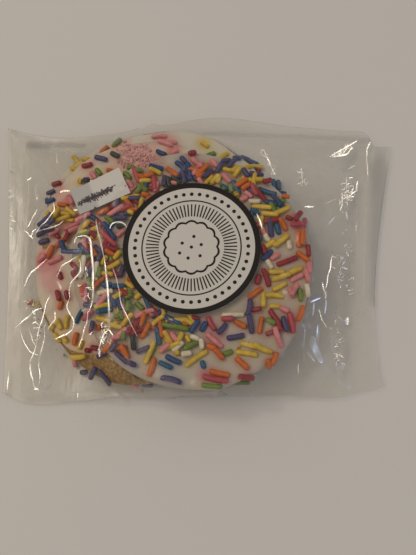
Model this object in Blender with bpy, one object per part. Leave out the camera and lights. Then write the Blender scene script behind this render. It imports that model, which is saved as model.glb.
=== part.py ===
"""A clear bag of three iced sugar cookies, lying flat, with a round label and a price sticker on it.

The bag is sealed, so it is one closed solid: the outer shape of the film, drawn tight over a stack
of three round cookies and down to two flat sealed ends. The label and the price sticker are paper
pieces that lie on the film.

Metres, +Z up, +X along the bag, -Y towards whoever reads the label. The origin is on the table,
under the middle of the bag's box.
"""

import math

import bmesh
import bpy
import numpy as np
from mathutils import Vector
from mathutils.bvhtree import BVHTree

MM = 0.001

# ---- The stack of cookies, which gives the bag its height (metres) ----
COOKIE_PITCH = 7.4 * MM                # one cookie with its icing and sprinkles
COOKIES_MM = (                         # centre x, y, longer and shorter radius, turn in degrees
    (-13.5, 9.5, 47.0, 43.5, 8.0),     # bottom: each cookie is a little oval and slid to one side
    (-17.5, -3.0, 48.5, 43.5, 98.0),   # middle
    (-0.3, -9.6, 46.2, 43.8, 123.0),   # top
)
STACK_MIDDLE = (-7.0 * MM, -2.0 * MM)  # inside every cookie: the film's slopes run out from here

# ---- The bag's outline on the table: (x, y, height of the film's edge) in millimetres ----
FRONT_EDGE = (
    (-73.0, -53.6, 1.5), (-66.0, -56.8, 1.5), (-43.0, -57.0, 2.5), (-30.0, -56.2, 4.0),
    (2.3, -56.6, 5.0), (35.5, -55.4, 3.5), (53.5, -56.2, 2.5), (62.0, -54.4, 2.0),
    (66.0, -53.6, 2.0), (70.3, -52.0, 2.0),
)
BACK_EDGE = (
    (-79.1, 57.7, 1.5), (-71.5, 55.2, 1.5), (-56.5, 52.6, 2.0), (-39.5, 52.2, 4.0),
    (-18.5, 53.7, 6.0), (8.3, 56.7, 7.5), (38.5, 53.2, 5.0), (62.0, 51.6, 2.5),
    (69.6, 50.9, 2.0), (71.9, 45.2, 2.0), (79.1, 44.4, 2.0),
)
LEFT_END_BOW = 1.2 * MM                # how far the left end curves in between its corners
RIGHT_END_BOW = 4.6 * MM               # the right end is pulled in more, nearer its front
RIGHT_BOW_LEAN = 0.75                  # under 1 puts the deepest part of that curve further forward
LEFT_SEAL = 6.5 * MM                   # the flat heat-sealed strip at the left end
RIGHT_SEAL = 9.5 * MM                  # and the flat folded strip at the right end
SEAL_BLEND = 0.3                       # share of a strip's width over which the film leaves it
BOW_REACH = 40.0 * MM                  # the ends' curves fade out over this much of the bag

# ---- The film ----
EDGE_THICKNESS = 0.7 * MM              # the doubled film at the bag's edge, with its slight gape
COLUMNS = 58                           # steps along the bag
ROWS = 40                              # steps across it
CROWD = 0.55                           # 0 spaces the steps evenly, 1 crowds them towards the edges
SOFTENING = 4                          # passes that round the film over the stack's rim
FLAT_MARGIN = 3.0 * MM                 # the underside lies flat this far past the lowest cookie

# ---- The paper pieces ----
PAPER_GAP = 0.3 * MM                   # clear space between a paper piece and the film under it
PAPER_THICKNESS = 0.3 * MM
LABEL_RADIUS = 25.4 * MM               # a standard two inch round label
LABEL_CENTRE = (0.1 * MM, -3.7 * MM)
LABEL_RINGS = 6
LABEL_SEGMENTS = 64
STICKER_LENGTH = 20.6 * MM             # a pricing gun's 21.5 by 12 label, as long as it looks from above
STICKER_WIDTH = 12.0 * MM
STICKER_CENTRE = (-34.8 * MM, 19.5 * MM)
STICKER_TURN = math.radians(24.5)
STICKER_STEPS = (20, 12)

# ---- Finishes: colour, roughness, metallic ----
FILM_LOOK = ((0.62, 0.58, 0.52, 1.0), 0.2, 0.0)
LABEL_LOOK = ((0.70, 0.67, 0.62, 1.0), 0.55, 0.0)
STICKER_LOOK = ((0.66, 0.66, 0.64, 1.0), 0.6, 0.0)


def clear_scene():
    for thing in list(bpy.data.objects):
        bpy.data.objects.remove(thing, do_unlink=True)


def finish_of(name, look):
    colour, roughness, metallic = look
    material = bpy.data.materials.new(name)
    material.use_nodes = True
    shader = material.node_tree.nodes["Principled BSDF"]
    shader.inputs["Base Color"].default_value = colour
    shader.inputs["Roughness"].default_value = roughness
    shader.inputs["Metallic"].default_value = metallic
    return material


def crowded(steps):
    """Even steps from 0 to 1, crowded towards both ends by CROWD."""
    even = np.linspace(0.0, 1.0, steps + 1)
    eased = (1.0 - np.cos(math.pi * even)) / 2.0
    return (1.0 - CROWD) * even + CROWD * eased


def smooth_step(t):
    t = np.clip(t, 0.0, 1.0)
    return t * t * (3.0 - 2.0 * t)


def edge_line(points_mm, spots):
    """Reads an edge's points at the wanted shares of its length, as one smooth line, in metres."""
    points = np.array(points_mm) * MM
    steps = np.linalg.norm(np.diff(points[:, :2], axis=0), axis=1)
    along = np.concatenate([[0.0], np.cumsum(steps)]) / steps.sum()
    slopes = np.gradient(points, along, axis=0)
    found = np.clip(np.searchsorted(along, spots, side="right") - 1, 0, len(along) - 2)
    width = along[found + 1] - along[found]
    t = ((spots - along[found]) / width)[:, None]
    start, end = points[found], points[found + 1]
    lean_out, lean_in = slopes[found] * width[:, None], slopes[found + 1] * width[:, None]
    return (
        (2 * t**3 - 3 * t**2 + 1) * start + (t**3 - 2 * t**2 + t) * lean_out
        + (3 * t**2 - 2 * t**3) * end + (t**3 - t**2) * lean_in
    )


def plan_grid():
    """Places in plan of the film's grid, columns by rows, and the height that its edges ask for."""
    spots = crowded(COLUMNS)
    front, back = edge_line(FRONT_EDGE, spots), edge_line(BACK_EDGE, spots)
    across = crowded(ROWS)[None, :, None]
    grid = front[:, None, :] * (1.0 - across) + back[:, None, :] * across
    bow = np.sin(math.pi * across[0, :, 0])
    front_bow = np.sin(math.pi * across[0, :, 0] ** RIGHT_BOW_LEAN)
    from_left = grid[..., 0] - grid[:1, :, 0]
    from_right = grid[-1:, :, 0] - grid[..., 0]
    grid[..., 0] += LEFT_END_BOW * bow * (1.0 - smooth_step(from_left / BOW_REACH))
    grid[..., 0] -= RIGHT_END_BOW * front_bow * (1.0 - smooth_step(from_right / BOW_REACH))
    return grid


def seal_share(grid):
    """1 on the flat strips at the two ends, 0 where the film has left them."""
    from_left = grid[..., 0] - grid[:1, :, 0]
    from_right = grid[-1:, :, 0] - grid[..., 0]
    left = smooth_step((1.0 - from_left / LEFT_SEAL) / SEAL_BLEND)
    right = smooth_step((1.0 - from_right / RIGHT_SEAL) / SEAL_BLEND)
    return np.maximum(left, right)


def reach_to_rim(direction, cookie_mm):
    """How far an oval cookie's rim is from STACK_MIDDLE along each direction. Measured in its own radii the
    oval is a circle of radius 1."""
    x, y, longer, shorter = np.array(cookie_mm[:4]) * MM
    turn = math.radians(cookie_mm[4])
    own_axes = np.array([
        [math.cos(turn) / longer, -math.sin(turn) / shorter],
        [math.sin(turn) / longer, math.cos(turn) / shorter],
    ])
    start = (np.array(STACK_MIDDLE) - (x, y)) @ own_axes
    step = direction @ own_axes
    length, along = (step**2).sum(axis=-1), step @ start
    return (-along + np.sqrt(along**2 + length * (1.0 - start @ start))) / length


def reach_to_outline(direction, outline):
    """How far the outline is from STACK_MIDDLE along each direction, and the outline's height there. Every
    line out from the middle meets the outline once, so both can be read by the line's angle."""
    offset = outline[:, :2] - np.array(STACK_MIDDLE)
    turns = np.arctan2(offset[:, 1], offset[:, 0])
    order = np.argsort(turns)
    wanted = np.arctan2(direction[..., 1], direction[..., 0])
    full_turn = 2.0 * math.pi
    reach = np.interp(wanted, turns[order], np.linalg.norm(offset, axis=1)[order], period=full_turn)
    height = np.interp(wanted, turns[order], outline[order, 2], period=full_turn)
    return reach, height


def taut_heights(grid):
    """The film's upper and lower heights. Along each line out from the middle of the stack the film is a
    taut string: over the cookies' rims, then straight to the bag's edge."""
    seal = seal_share(grid)
    first, last = np.flatnonzero(seal.max(axis=1) == 0.0)[[0, -1]]
    outline = np.concatenate([
        grid[first:last + 1, 0], grid[last, 1:], grid[first:last, -1][::-1], grid[first, 1:-1][::-1],
    ])
    offset = grid[..., :2] - np.array(STACK_MIDDLE)
    away = np.maximum(np.linalg.norm(offset, axis=-1), 1e-9)
    direction = offset / away[..., None]
    reach, edge = reach_to_outline(direction, outline)

    knots = [(np.zeros_like(away), np.full_like(away, len(COOKIES_MM) * COOKIE_PITCH))]
    for level, cookie_mm in enumerate(COOKIES_MM, start=1):
        rim = reach_to_rim(direction, cookie_mm)
        knots.append((rim, np.full_like(away, level * COOKIE_PITCH)))
    farthest = np.maximum.reduce([rim for rim, _ in knots])
    reach = np.maximum(reach, farthest + EDGE_THICKNESS)
    knots.append((reach, edge))

    upper = np.where(away >= reach, grid[..., 2], 0.0)
    for near, low in knots:
        for far, high in knots:
            span = np.maximum(far - near, 1e-9)
            between = (away >= near) & (away <= far) & (far > near)
            chord = low + (high - low) * (away - near) / span
            upper = np.where(between, np.maximum(upper, chord), upper)
    upper = np.maximum(upper, grid[..., 2])

    foot = reach_to_rim(direction, COOKIES_MM[0]) + FLAT_MARGIN
    lift = smooth_step((away - foot) / np.maximum(reach - foot, 1e-9))
    lower = (edge - EDGE_THICKNESS) * lift
    return upper, lower, seal


def softened(heights):
    """Rounds the film's folds, and leaves the outline where it is."""
    for _ in range(SOFTENING):
        inner = heights[1:-1, 1:-1]
        around = heights[:-2, 1:-1] + heights[2:, 1:-1] + heights[1:-1, :-2] + heights[1:-1, 2:]
        heights = heights.copy()
        heights[1:-1, 1:-1] = (inner + around / 4.0) / 2.0
    return heights


def bag_heights(grid):
    upper, lower, seal = taut_heights(grid)
    upper = (1.0 - seal) * softened(upper) + seal * grid[..., 2]
    low_edge = grid[..., 2] - EDGE_THICKNESS
    lower = (1.0 - seal) * lower + seal * low_edge
    lower[0], lower[-1], lower[:, 0], lower[:, -1] = (
        low_edge[0], low_edge[-1], low_edge[:, 0], low_edge[:, -1],
    )
    upper = np.maximum(upper, lower + EDGE_THICKNESS)
    return upper, np.maximum(lower, 0.0)


def object_from(name, mesh_maker, look, smooth_angle=40.0):
    mesh = bpy.data.meshes.new(name)
    mesh_maker.to_mesh(mesh)
    mesh_maker.free()
    mesh.shade_smooth()
    mesh.set_sharp_from_angle(angle=math.radians(smooth_angle))
    mesh.materials.append(finish_of(name, look))
    thing = bpy.data.objects.new(name, mesh)
    bpy.context.scene.collection.objects.link(thing)
    return thing


def closed_shell(top, bottom, wraps=False):
    """A closed solid between two matching grids of points. A grid that wraps is a disc: its columns are
    spokes that share their first point, and the last spoke is beside the first."""
    maker = bmesh.new()
    columns, rows = top.shape[:2]
    rounds = columns if wraps else columns - 1
    skins = []
    for points, up in ((top, True), (bottom, False)):
        corners = [[None] * rows for _ in range(columns)]
        for column in range(columns):
            for row in range(rows):
                if wraps and row == 0 and column > 0:
                    corners[column][row] = corners[0][0]
                else:
                    corners[column][row] = maker.verts.new(points[column, row])
        for column in range(rounds):
            beside = (column + 1) % columns
            for row in range(rows - 1):
                ring = [
                    corners[column][row], corners[beside][row],
                    corners[beside][row + 1], corners[column][row + 1],
                ]
                ring = list(dict.fromkeys(ring))
                maker.faces.new(ring if up else ring[::-1])
        skins.append(corners)
    upper, lower = skins
    if wraps:
        rim = [(column, rows - 1) for column in range(columns)]
    else:
        rim = [(column, 0) for column in range(columns - 1)]
        rim += [(columns - 1, row) for row in range(rows - 1)]
        rim += [(column, rows - 1) for column in range(columns - 1, 0, -1)]
        rim += [(0, row) for row in range(rows - 1, 0, -1)]
    for (c0, r0), (c1, r1) in zip(rim, rim[1:] + rim[:1]):
        maker.faces.new([lower[c0][r0], lower[c1][r1], upper[c1][r1], upper[c0][r0]])
    bmesh.ops.recalc_face_normals(maker, faces=maker.faces)
    bmesh.ops.triangulate(maker, faces=[f for f in maker.faces if len(f.verts) > 3])
    return maker


def make_bag():
    grid = plan_grid()
    upper, lower = bag_heights(grid)
    top = np.dstack([grid[..., :2], upper])
    bottom = np.dstack([grid[..., :2], lower])
    return object_from("bag", closed_shell(top, bottom), FILM_LOOK)


def laid_on(bag, places):
    """Top and bottom points of a paper piece whose plan places lie on the film, PAPER_GAP above it."""
    film = BVHTree.FromObject(bag, bpy.context.evaluated_depsgraph_get())
    above = Vector((0.0, 0.0, -1.0))
    heights = np.zeros(places.shape[:2])
    for index in np.ndindex(heights.shape):
        x, y = places[index]
        hit = film.ray_cast(Vector((x, y, 1.0)), above)[0]
        heights[index] = hit.z + PAPER_GAP
    bottom = np.dstack([places, heights])
    top = np.dstack([places, heights + PAPER_THICKNESS])
    return top, bottom


def make_label(bag):
    turns = np.linspace(0.0, 2.0 * math.pi, LABEL_SEGMENTS, endpoint=False)[:, None]
    radii = LABEL_RADIUS * np.linspace(0.0, 1.0, LABEL_RINGS + 1)[None, :]
    places = np.dstack([
        LABEL_CENTRE[0] + radii * np.cos(turns),
        LABEL_CENTRE[1] + radii * np.sin(turns),
    ])
    top, bottom = laid_on(bag, places)
    return object_from("label", closed_shell(top, bottom, wraps=True), LABEL_LOOK)


def make_price_sticker(bag):
    long_steps, short_steps = STICKER_STEPS
    along = STICKER_LENGTH * (np.linspace(0.0, 1.0, long_steps + 1) - 0.5)[:, None]
    across = STICKER_WIDTH * (np.linspace(0.0, 1.0, short_steps + 1) - 0.5)[None, :]
    turn_x, turn_y = math.cos(STICKER_TURN), math.sin(STICKER_TURN)
    places = np.dstack([
        STICKER_CENTRE[0] + along * turn_x - across * turn_y,
        STICKER_CENTRE[1] + along * turn_y + across * turn_x,
    ])
    top, bottom = laid_on(bag, places)
    return object_from("price_sticker", closed_shell(top, bottom), STICKER_LOOK)


def main():
    clear_scene()
    bag = make_bag()
    bpy.context.view_layer.update()
    make_label(bag)
    make_price_sticker(bag)


main()
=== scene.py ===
# %% [markdown]
# # A clear bag of three iced sugar cookies
#
# The object is a sealed clear bag that lies flat. Inside it three round sugar cookies have slid into a
# fanned stack. Each is a browned biscuit with a coat of white icing and many sprinkles. A round paper
# label and a small price sticker are stuck on top.
#
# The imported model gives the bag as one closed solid, and the label and the sticker as thin slabs. They
# fix the size and the place of everything. This lesson keeps the label's slab with a paper finish, and
# replaces the bag with its real film and contents, and the sticker with a finer sheet.

# %% Load the fixed parts
import math

import bmesh
import bpy
import numpy as np
from mathutils import Euler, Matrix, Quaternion, Vector
from mathutils.bvhtree import BVHTree


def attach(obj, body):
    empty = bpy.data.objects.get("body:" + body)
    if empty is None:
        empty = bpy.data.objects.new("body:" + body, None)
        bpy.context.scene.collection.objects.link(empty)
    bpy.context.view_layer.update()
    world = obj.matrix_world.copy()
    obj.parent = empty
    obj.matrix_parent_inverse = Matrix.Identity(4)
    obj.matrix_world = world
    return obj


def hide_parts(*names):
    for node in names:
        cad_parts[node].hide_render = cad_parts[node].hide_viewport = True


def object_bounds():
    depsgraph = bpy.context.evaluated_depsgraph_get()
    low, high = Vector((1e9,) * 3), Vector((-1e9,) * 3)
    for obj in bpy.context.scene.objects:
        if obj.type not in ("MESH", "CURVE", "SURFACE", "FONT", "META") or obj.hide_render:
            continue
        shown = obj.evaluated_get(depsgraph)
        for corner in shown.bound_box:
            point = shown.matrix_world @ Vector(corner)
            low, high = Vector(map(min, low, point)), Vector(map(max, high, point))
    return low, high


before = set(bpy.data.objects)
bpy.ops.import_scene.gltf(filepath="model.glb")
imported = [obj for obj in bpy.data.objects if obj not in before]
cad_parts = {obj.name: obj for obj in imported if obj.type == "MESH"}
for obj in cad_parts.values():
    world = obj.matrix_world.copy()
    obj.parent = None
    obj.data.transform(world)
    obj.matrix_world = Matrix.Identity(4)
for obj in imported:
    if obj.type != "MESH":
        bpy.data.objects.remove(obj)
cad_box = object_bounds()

MM = 0.001
SEEDS = {   # whatever is drawn at random has its own seed, so that every run gives the same result
    "biscuits": 10, "icings": 40, "sprinkles": 7, "pleats": 3, "crumples": 70, "crinkles": 8,
    "creases": 300, "pen": 21,
}
scene = bpy.context.scene
low, high = cad_box
print("the fixed parts' box in mm:", [round((b - a) / MM, 1) for a, b in zip(low, high)])

# %% [markdown]
# ## The camera
#
# The camera stands where the photographer's did: above the bag and a little in front of it, looking
# down. Its place and lean were worked out from the round label, which looks like a slight oval. Blender
# gives a picture's longer side the whole sensor, so the lens follows from the picture's height.
#
# One helper belongs with it. It answers where a spot of the picture lies on the object, once we say how
# high it is. Sprinkles and creases are placed with it.

# %% The camera
IMAGE_WIDTH, IMAGE_HEIGHT = 416, 555
FOCAL_PIXELS = 778.0
SENSOR_MM = 36.0
CAMERA_PLACE = Vector((21.2, -95.0, 292.1)) * MM
CAMERA_LEAN = Euler((math.radians(16.44), math.radians(3.19), 0.0))

camera_data = bpy.data.cameras.new("camera")
camera_data.sensor_width = SENSOR_MM
camera_data.lens = FOCAL_PIXELS * SENSOR_MM / IMAGE_HEIGHT
camera = bpy.data.objects.new("camera", camera_data)
camera.location = CAMERA_PLACE
camera.rotation_euler = CAMERA_LEAN
scene.collection.objects.link(camera)
scene.camera = camera
camera_turn = CAMERA_LEAN.to_matrix()


def line_of_sight(u, v):
    """The direction from the camera through a pixel of the picture."""
    across = (u - IMAGE_WIDTH / 2) / FOCAL_PIXELS
    along = (IMAGE_HEIGHT / 2 - v) / FOCAL_PIXELS
    return (camera_turn @ Vector((across, along, -1.0))).normalized()


def seen_at(u, v, height):
    """The point at this height that shows at this pixel."""
    ray = line_of_sight(u, v)
    return CAMERA_PLACE + ray * ((height - CAMERA_PLACE.z) / ray.z)


print("lens in mm:", round(camera_data.lens, 1))

# %% [markdown]
# ## Colours and nodes
#
# Colours are written as they are read off a screen, in sRGB hex. Cycles works in linear light, so one
# function turns them. Another small one adds a shader node with its settings and links, so that each
# finish below reads as a list of what it is made of.

# %% Helpers for finishes
COLOUR_A, COLOUR_B = 6, 7    # the Mix node's two colour sockets, which share a name with its others
COLOUR_OUT = 2


def colour(hex_code):
    """An sRGB hex colour as linear red, green, blue and alpha."""
    shares = [int(hex_code[at:at + 2], 16) / 255 for at in (1, 3, 5)]
    linear = [s / 12.92 if s <= 0.04045 else ((s + 0.055) / 1.055) ** 2.4 for s in shares]
    return (*linear, 1.0)


def add(finish, kind, sockets=None, **settings):
    """Adds one node. A socket gets a value, or the output that it is linked to."""
    made = finish.node_tree.nodes.new("ShaderNode" + kind)
    for name, value in settings.items():
        setattr(made, name, value)
    for name, value in (sockets or {}).items():
        if isinstance(value, bpy.types.NodeSocket):
            finish.node_tree.links.new(value, made.inputs[name])
        else:
            made.inputs[name].default_value = value
    return made


def new_finish(name):
    """An empty material, and the place on the object, which its patterns need."""
    finish = bpy.data.materials.new(name)
    finish.use_nodes = True
    finish.node_tree.nodes.clear()
    return finish, add(finish, "TexCoord").outputs["Object"]


def per_mm(millimetres):
    """A pattern's scale from the size of one of its features. Patterns are measured in metres."""
    return 1.0 / (millimetres * MM)


# %% [markdown]
# ## The floor and the light
#
# The floor is plain, pale and matt, and it isn't part of the object. The light is what a room gives. A
# broad warm light comes from the left, so that the stack's shadow is soft and falls to the right. The
# walls send back a weak even light. A small lamp at the back left is there for the film alone: it is the
# one that the creases mirror as thin white lines. A cool light from the right, at a low angle, shows in
# the film's right-hand slope.

# %% The floor and the light
FLOOR_SIDE = 4.0
FLOOR_DROP = 0.2 * MM
ROOM_LIGHT = ("#EFE8DD", 0.395)
LIGHTS = {   # place, side in metres, watts, colour
    "broad": ((-0.59, 0.01, 1.07), 0.74, 2.85, "#FFEACF"),
    "lamp": ((-0.48, 0.37, 1.03), 0.10, 1.1, "#FFF3E2"),
    "cool": ((0.95, -0.12, 0.40), 0.20, 1.2, "#B4CCFF"),
}
AIM = Vector((0.0, 0.0, 0.0))

scene.view_settings.view_transform = "Standard"
world = bpy.data.worlds.new("room")
world.use_nodes = True
scene.world = world
background = world.node_tree.nodes["Background"]
background.inputs["Color"].default_value = colour(ROOM_LIGHT[0])
background.inputs["Strength"].default_value = ROOM_LIGHT[1]

for light_name, (place, side, watts, tint) in LIGHTS.items():
    lamp = bpy.data.lights.new(light_name, "AREA")
    lamp.size = side
    lamp.energy = watts
    lamp.color = colour(tint)[:3]
    holder = bpy.data.objects.new(light_name, lamp)
    holder.location = place
    holder.rotation_euler = (Vector(place) - AIM).to_track_quat("Z", "Y").to_euler()
    scene.collection.objects.link(holder)

matt_board, board_place = new_finish("matt pale board")
board_tooth = add(matt_board, "TexNoise", {
    "Vector": board_place, "Scale": per_mm(0.8), "Detail": 3.0,
}).outputs["Fac"]
board_tone = add(matt_board, "Mix", {
    "Factor": board_tooth, COLOUR_A: colour("#DDDBD9"), COLOUR_B: colour("#E1DFDD"),
}, data_type="RGBA")
board_bump = add(matt_board, "Bump", {"Height": board_tooth, "Strength": 0.12, "Distance": 0.1 * MM})
board = add(matt_board, "BsdfPrincipled", {
    "Base Color": board_tone.outputs[COLOUR_OUT], "Roughness": 0.85,
    "Normal": board_bump.outputs["Normal"],
})
add(matt_board, "OutputMaterial", {"Surface": board.outputs["BSDF"]})

half = FLOOR_SIDE / 2
floor_mesh = bpy.data.meshes.new("floor")
floor_mesh.from_pydata(
    [(-half, -half, 0), (half, -half, 0), (half, half, 0), (-half, half, 0)], [], [(0, 1, 2, 3)],
)
floor_mesh.materials.append(matt_board)
floor = bpy.data.objects.new("floor", floor_mesh)
floor.location.z = -FLOOR_DROP
scene.collection.objects.link(floor)
print("lights:", ", ".join(LIGHTS))

# %% [markdown]
# ## Helpers for shapes
#
# Nothing baked is even. A cheap way to unevenness is to add up a few sine waves that run in random
# directions: it is smooth, it can be asked for at any size, and a seed makes it the same every time.
#
# Cookies and sprinkles are turned shapes: rings of points from the middle of one end, out round the rim,
# and back to the middle of the other end. Ink lies on paper as long strips with four corners. One function
# for each numbers the faces.

# %% Helpers for shapes
UNEVEN_WAVES = 12
WAVE_PACES = (0.6, 1.4)          # the slowest and the quickest wave, round the size that is asked for
TURN = 2 * math.pi
DOWN = Vector((0.0, 0.0, -1.0))
FAR_OFF = 1.0


def uneven(points, size, seed):
    """Smooth unevenness, mostly between -1 and 1, with lumps of about the given size."""
    rng = np.random.default_rng(seed)
    total = np.zeros(points.shape[:-1])
    for _ in range(UNEVEN_WAVES):
        direction = rng.normal(size=points.shape[-1])
        direction /= np.linalg.norm(direction)
        pace = TURN * rng.uniform(*WAVE_PACES) / (2 * size)
        total += np.sin(points @ direction * pace + rng.uniform(0, TURN))
    return total / math.sqrt(UNEVEN_WAVES)


def eased(share):
    """Goes smoothly from 0 to 1."""
    share = np.clip(share, 0.0, 1.0)
    return share * share * (3 - 2 * share)


def piece_from(name, points, faces, *finishes):
    mesh = bpy.data.meshes.new(name)
    mesh.from_pydata(np.asarray(points).tolist(), [], faces)
    mesh.shade_smooth()
    for finish in finishes:
        mesh.materials.append(finish)
    piece = bpy.data.objects.new(name, mesh)
    scene.collection.objects.link(piece)
    return piece


def turned_faces(rings, spokes):
    """Faces of a closed turned shape. Its first and its last ring are single points."""
    def corner(ring, spoke):
        return 1 + (ring - 1) * spokes + spoke % spokes
    last = 1 + (rings - 2) * spokes
    faces = [(0, corner(1, s + 1), corner(1, s)) for s in range(spokes)]
    for ring in range(1, rings - 2):
        faces += [
            (corner(ring, s), corner(ring, s + 1), corner(ring + 1, s + 1), corner(ring + 1, s))
            for s in range(spokes)
        ]
    faces += [(corner(rings - 2, s), corner(rings - 2, s + 1), last) for s in range(spokes)]
    return faces


def turned_points(rings):
    """The points that turned_faces numbers, from an array of rings by spokes."""
    return np.concatenate([rings[0, :1], rings[1:-1].reshape(-1, 3), rings[-1, :1]])


def strip_faces(first, count, closed=False):
    """Faces of a strip with four corners at each of its steps. It has ends, or closes on itself."""
    faces = []
    for at in range(count if closed else count - 1):
        here, there = first + 4 * at, first + 4 * ((at + 1) % count)
        faces += [(here + k, there + k, there + (k + 1) % 4, here + (k + 1) % 4) for k in range(4)]
    if not closed:
        last = first + 4 * (count - 1)
        faces += [(first, first + 1, first + 2, first + 3), (last + 3, last + 2, last + 1, last)]
    return faces


def points_of(mesh):
    return np.array([v.co for v in mesh.vertices])


def keep_on_mesh(piece, layer_name, values):
    """Keeps a number or a colour at each point of a piece, for its finish to read."""
    kind, field = ("FLOAT", "value") if values.ndim == 1 else ("FLOAT_COLOR", "color")
    layer = piece.data.attributes.new(layer_name, kind, "POINT")
    layer.data.foreach_set(field, values.astype(np.float32).ravel())


def skin_of(*pieces):
    """A tree of the pieces' faces, which finds where a line meets them."""
    points, faces = [], []
    for piece in pieces:
        first = len(points)
        points += [v.co for v in piece.data.vertices]
        faces += [[first + at for at in face.vertices] for face in piece.data.polygons]
    return BVHTree.FromPolygons(points, faces)


def met_by(skin, place, way=DOWN):
    """Where a line straight down, or up, from far off meets a skin over a place in plan. Or None."""
    return skin.ray_cast(Vector((place[0], place[1], -FAR_OFF * way.z)), way)[0]


def heights_on_grid(skin, xs, ys, way, missing):
    """The heights at which such lines meet a skin, over a grid."""
    hits = [[met_by(skin, (x, y), way) for y in ys] for x in xs]
    return np.array([[missing if hit is None else hit.z for hit in column] for column in hits])


# %% [markdown]
# ## The cookies' shapes
#
# Sugar-cookie dough is rolled, cut with a round cutter and baked. It spreads a little unevenly, so the
# rims are slightly oval and wavy, and the edges bake round. Every cookie here is one such oval with a
# half-round rim. A little noise gives the crust its dimples.
#
# The place along a cookie's skin is measured outwards from where the rim starts to round. That makes the
# icing easy: it follows the same skin, a little above it, and may stop short of the rim or run over it.

# %% The cookies' shapes
BISCUIT_THICKNESS = 4.7 * MM
RIM_ROUND = BISCUIT_THICKNESS / 2
COOKIES = {   # middle x, y, longer and shorter radius, all in mm, turn in degrees, height of the underside
    "bottom": (-13.5, 9.5, 47.0, 43.5, 8.0, 0.15),
    "middle": (-17.5, -3.5, 48.5, 43.8, 98.0, 7.3),
    "top": (-0.3, -9.6, 46.2, 43.8, 123.0, 14.4),
}
RIM_WAVES = ((3, 0.35), (5, 0.3), (8, 0.18), (13, 0.1))   # waves round the rim, and their depth in mm
BULGES = {   # where dough ran out further: direction and spread in degrees, and how far in mm
    "bottom": ((152.0, 34.0, 3.0),),
    "middle": ((250.0, 30.0, 1.6),),
    "top": (),
}
SPOKES = 180
FLAT_RINGS = 26
ROUND_STEPS = 12
CRUST_LUMPS = ((14.0, 0.22), (4.0, 0.28), (1.8, 0.16))     # size and depth in mm

spoke_turns = np.linspace(0, TURN, SPOKES, endpoint=False)


def middle_of(cookie):
    """The cookie's middle in plan."""
    return np.array(COOKIES[cookie][:2]) * MM


def base_of(cookie):
    """The height of its underside."""
    return COOKIES[cookie][-1] * MM


def cookies_above(cookie):
    """The cookies that lie on this one, the next one first."""
    names = list(COOKIES)
    return names[names.index(cookie) + 1:]


def near_direction(turns, direction, spread):
    """1 in a direction, falling smoothly to 0 at the spread on both sides. Both are in degrees."""
    off = np.abs((turns - math.radians(direction) + math.pi) % TURN - math.pi)
    return eased(1 - off / math.radians(spread))


def rim_reach(cookie, turns):
    """How far the rim is from the cookie's middle in each direction."""
    _, _, longer, shorter, turn, _ = COOKIES[cookie]
    own = turns - math.radians(turn)
    reach = 1 / np.sqrt((np.cos(own) / longer) ** 2 + (np.sin(own) / shorter) ** 2)
    for count, depth in RIM_WAVES:
        reach = reach + depth * np.sin(count * own + count * longer)
    for direction, spread, depth in BULGES[cookie]:
        reach = reach + depth * near_direction(turns, direction, spread)
    return reach * MM


def on_skin(cookie, slide, lift=0.0):
    """Points on the cookie's skin. slide runs outwards from where the rim starts to round, as far as the
    underside, and lift stands them off the skin."""
    (x, y), base = middle_of(cookie), base_of(cookie)
    flat_reach = rim_reach(cookie, spoke_turns) - RIM_ROUND
    lean = np.clip(slide / RIM_ROUND, 0, math.pi)
    out = flat_reach + np.minimum(slide, 0) + (RIM_ROUND + lift) * np.sin(lean)
    height = base + RIM_ROUND + (RIM_ROUND + lift) * np.cos(lean)
    return np.stack([
        x + out * np.cos(spoke_turns), y + out * np.sin(spoke_turns), height + 0 * out,
    ], axis=-1)


def with_lumps(points, lumps, seed):
    """The points moved up and down by lumps of each size and depth, which are in mm."""
    moved = points.copy()
    for size, depth in lumps:
        moved[..., 2] += depth * MM * uneven(moved, size * MM, seed + int(size))
    return moved


def biscuit_points(cookie, seed):
    flat_reach = rim_reach(cookie, spoke_turns) - RIM_ROUND
    shares = np.sqrt(np.linspace(0, 1, FLAT_RINGS))
    top = [on_skin(cookie, (share - 1) * flat_reach) for share in shares]
    side = [on_skin(cookie, lean * RIM_ROUND) for lean in np.linspace(0, math.pi, ROUND_STEPS)[1:-1]]
    under = [ring - (0, 0, BISCUIT_THICKNESS) for ring in top[::-1]]
    points = np.array((top + side + under)[::-1])
    relief = with_lumps(points, CRUST_LUMPS, seed)
    fade = eased((points[..., 2] - points[..., 2].min()) / RIM_ROUND)
    points[..., 2] += (relief[..., 2] - points[..., 2]) * fade
    return points


print("a cookie is", round(2 * np.mean(rim_reach("top", spoke_turns)) / MM), "mm across")

# %% [markdown]
# ## Baked biscuit
#
# The biscuit is sugar-cookie dough, pale where it was covered and golden brown where it touched the tray
# or stood up to the heat: along the rim and underneath. The shade is stored on the mesh as a share of
# browning, which is plain to work out from each point's height, and noise breaks it up. The crust is matt
# and grainy. One fine noise gives its pits, which baked darker, the floury grains between them, and the
# bump. The dough's own lumps are in the mesh.

# %% Baked biscuit
BROWN_PATCHES = 1.8              # how strongly noise breaks up the browning
EVEN_BROWN = 0.25                # how brown the crust is everywhere
RIM_BROWN, RIM_BROWN_REACH = 0.45, 7.0 * MM        # how much more at the rim, and how far inwards
TRAY_BROWN, TRAY_BROWN_REACH = 0.25, 3.0 * MM      # the same for the underside, and how far up

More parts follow.
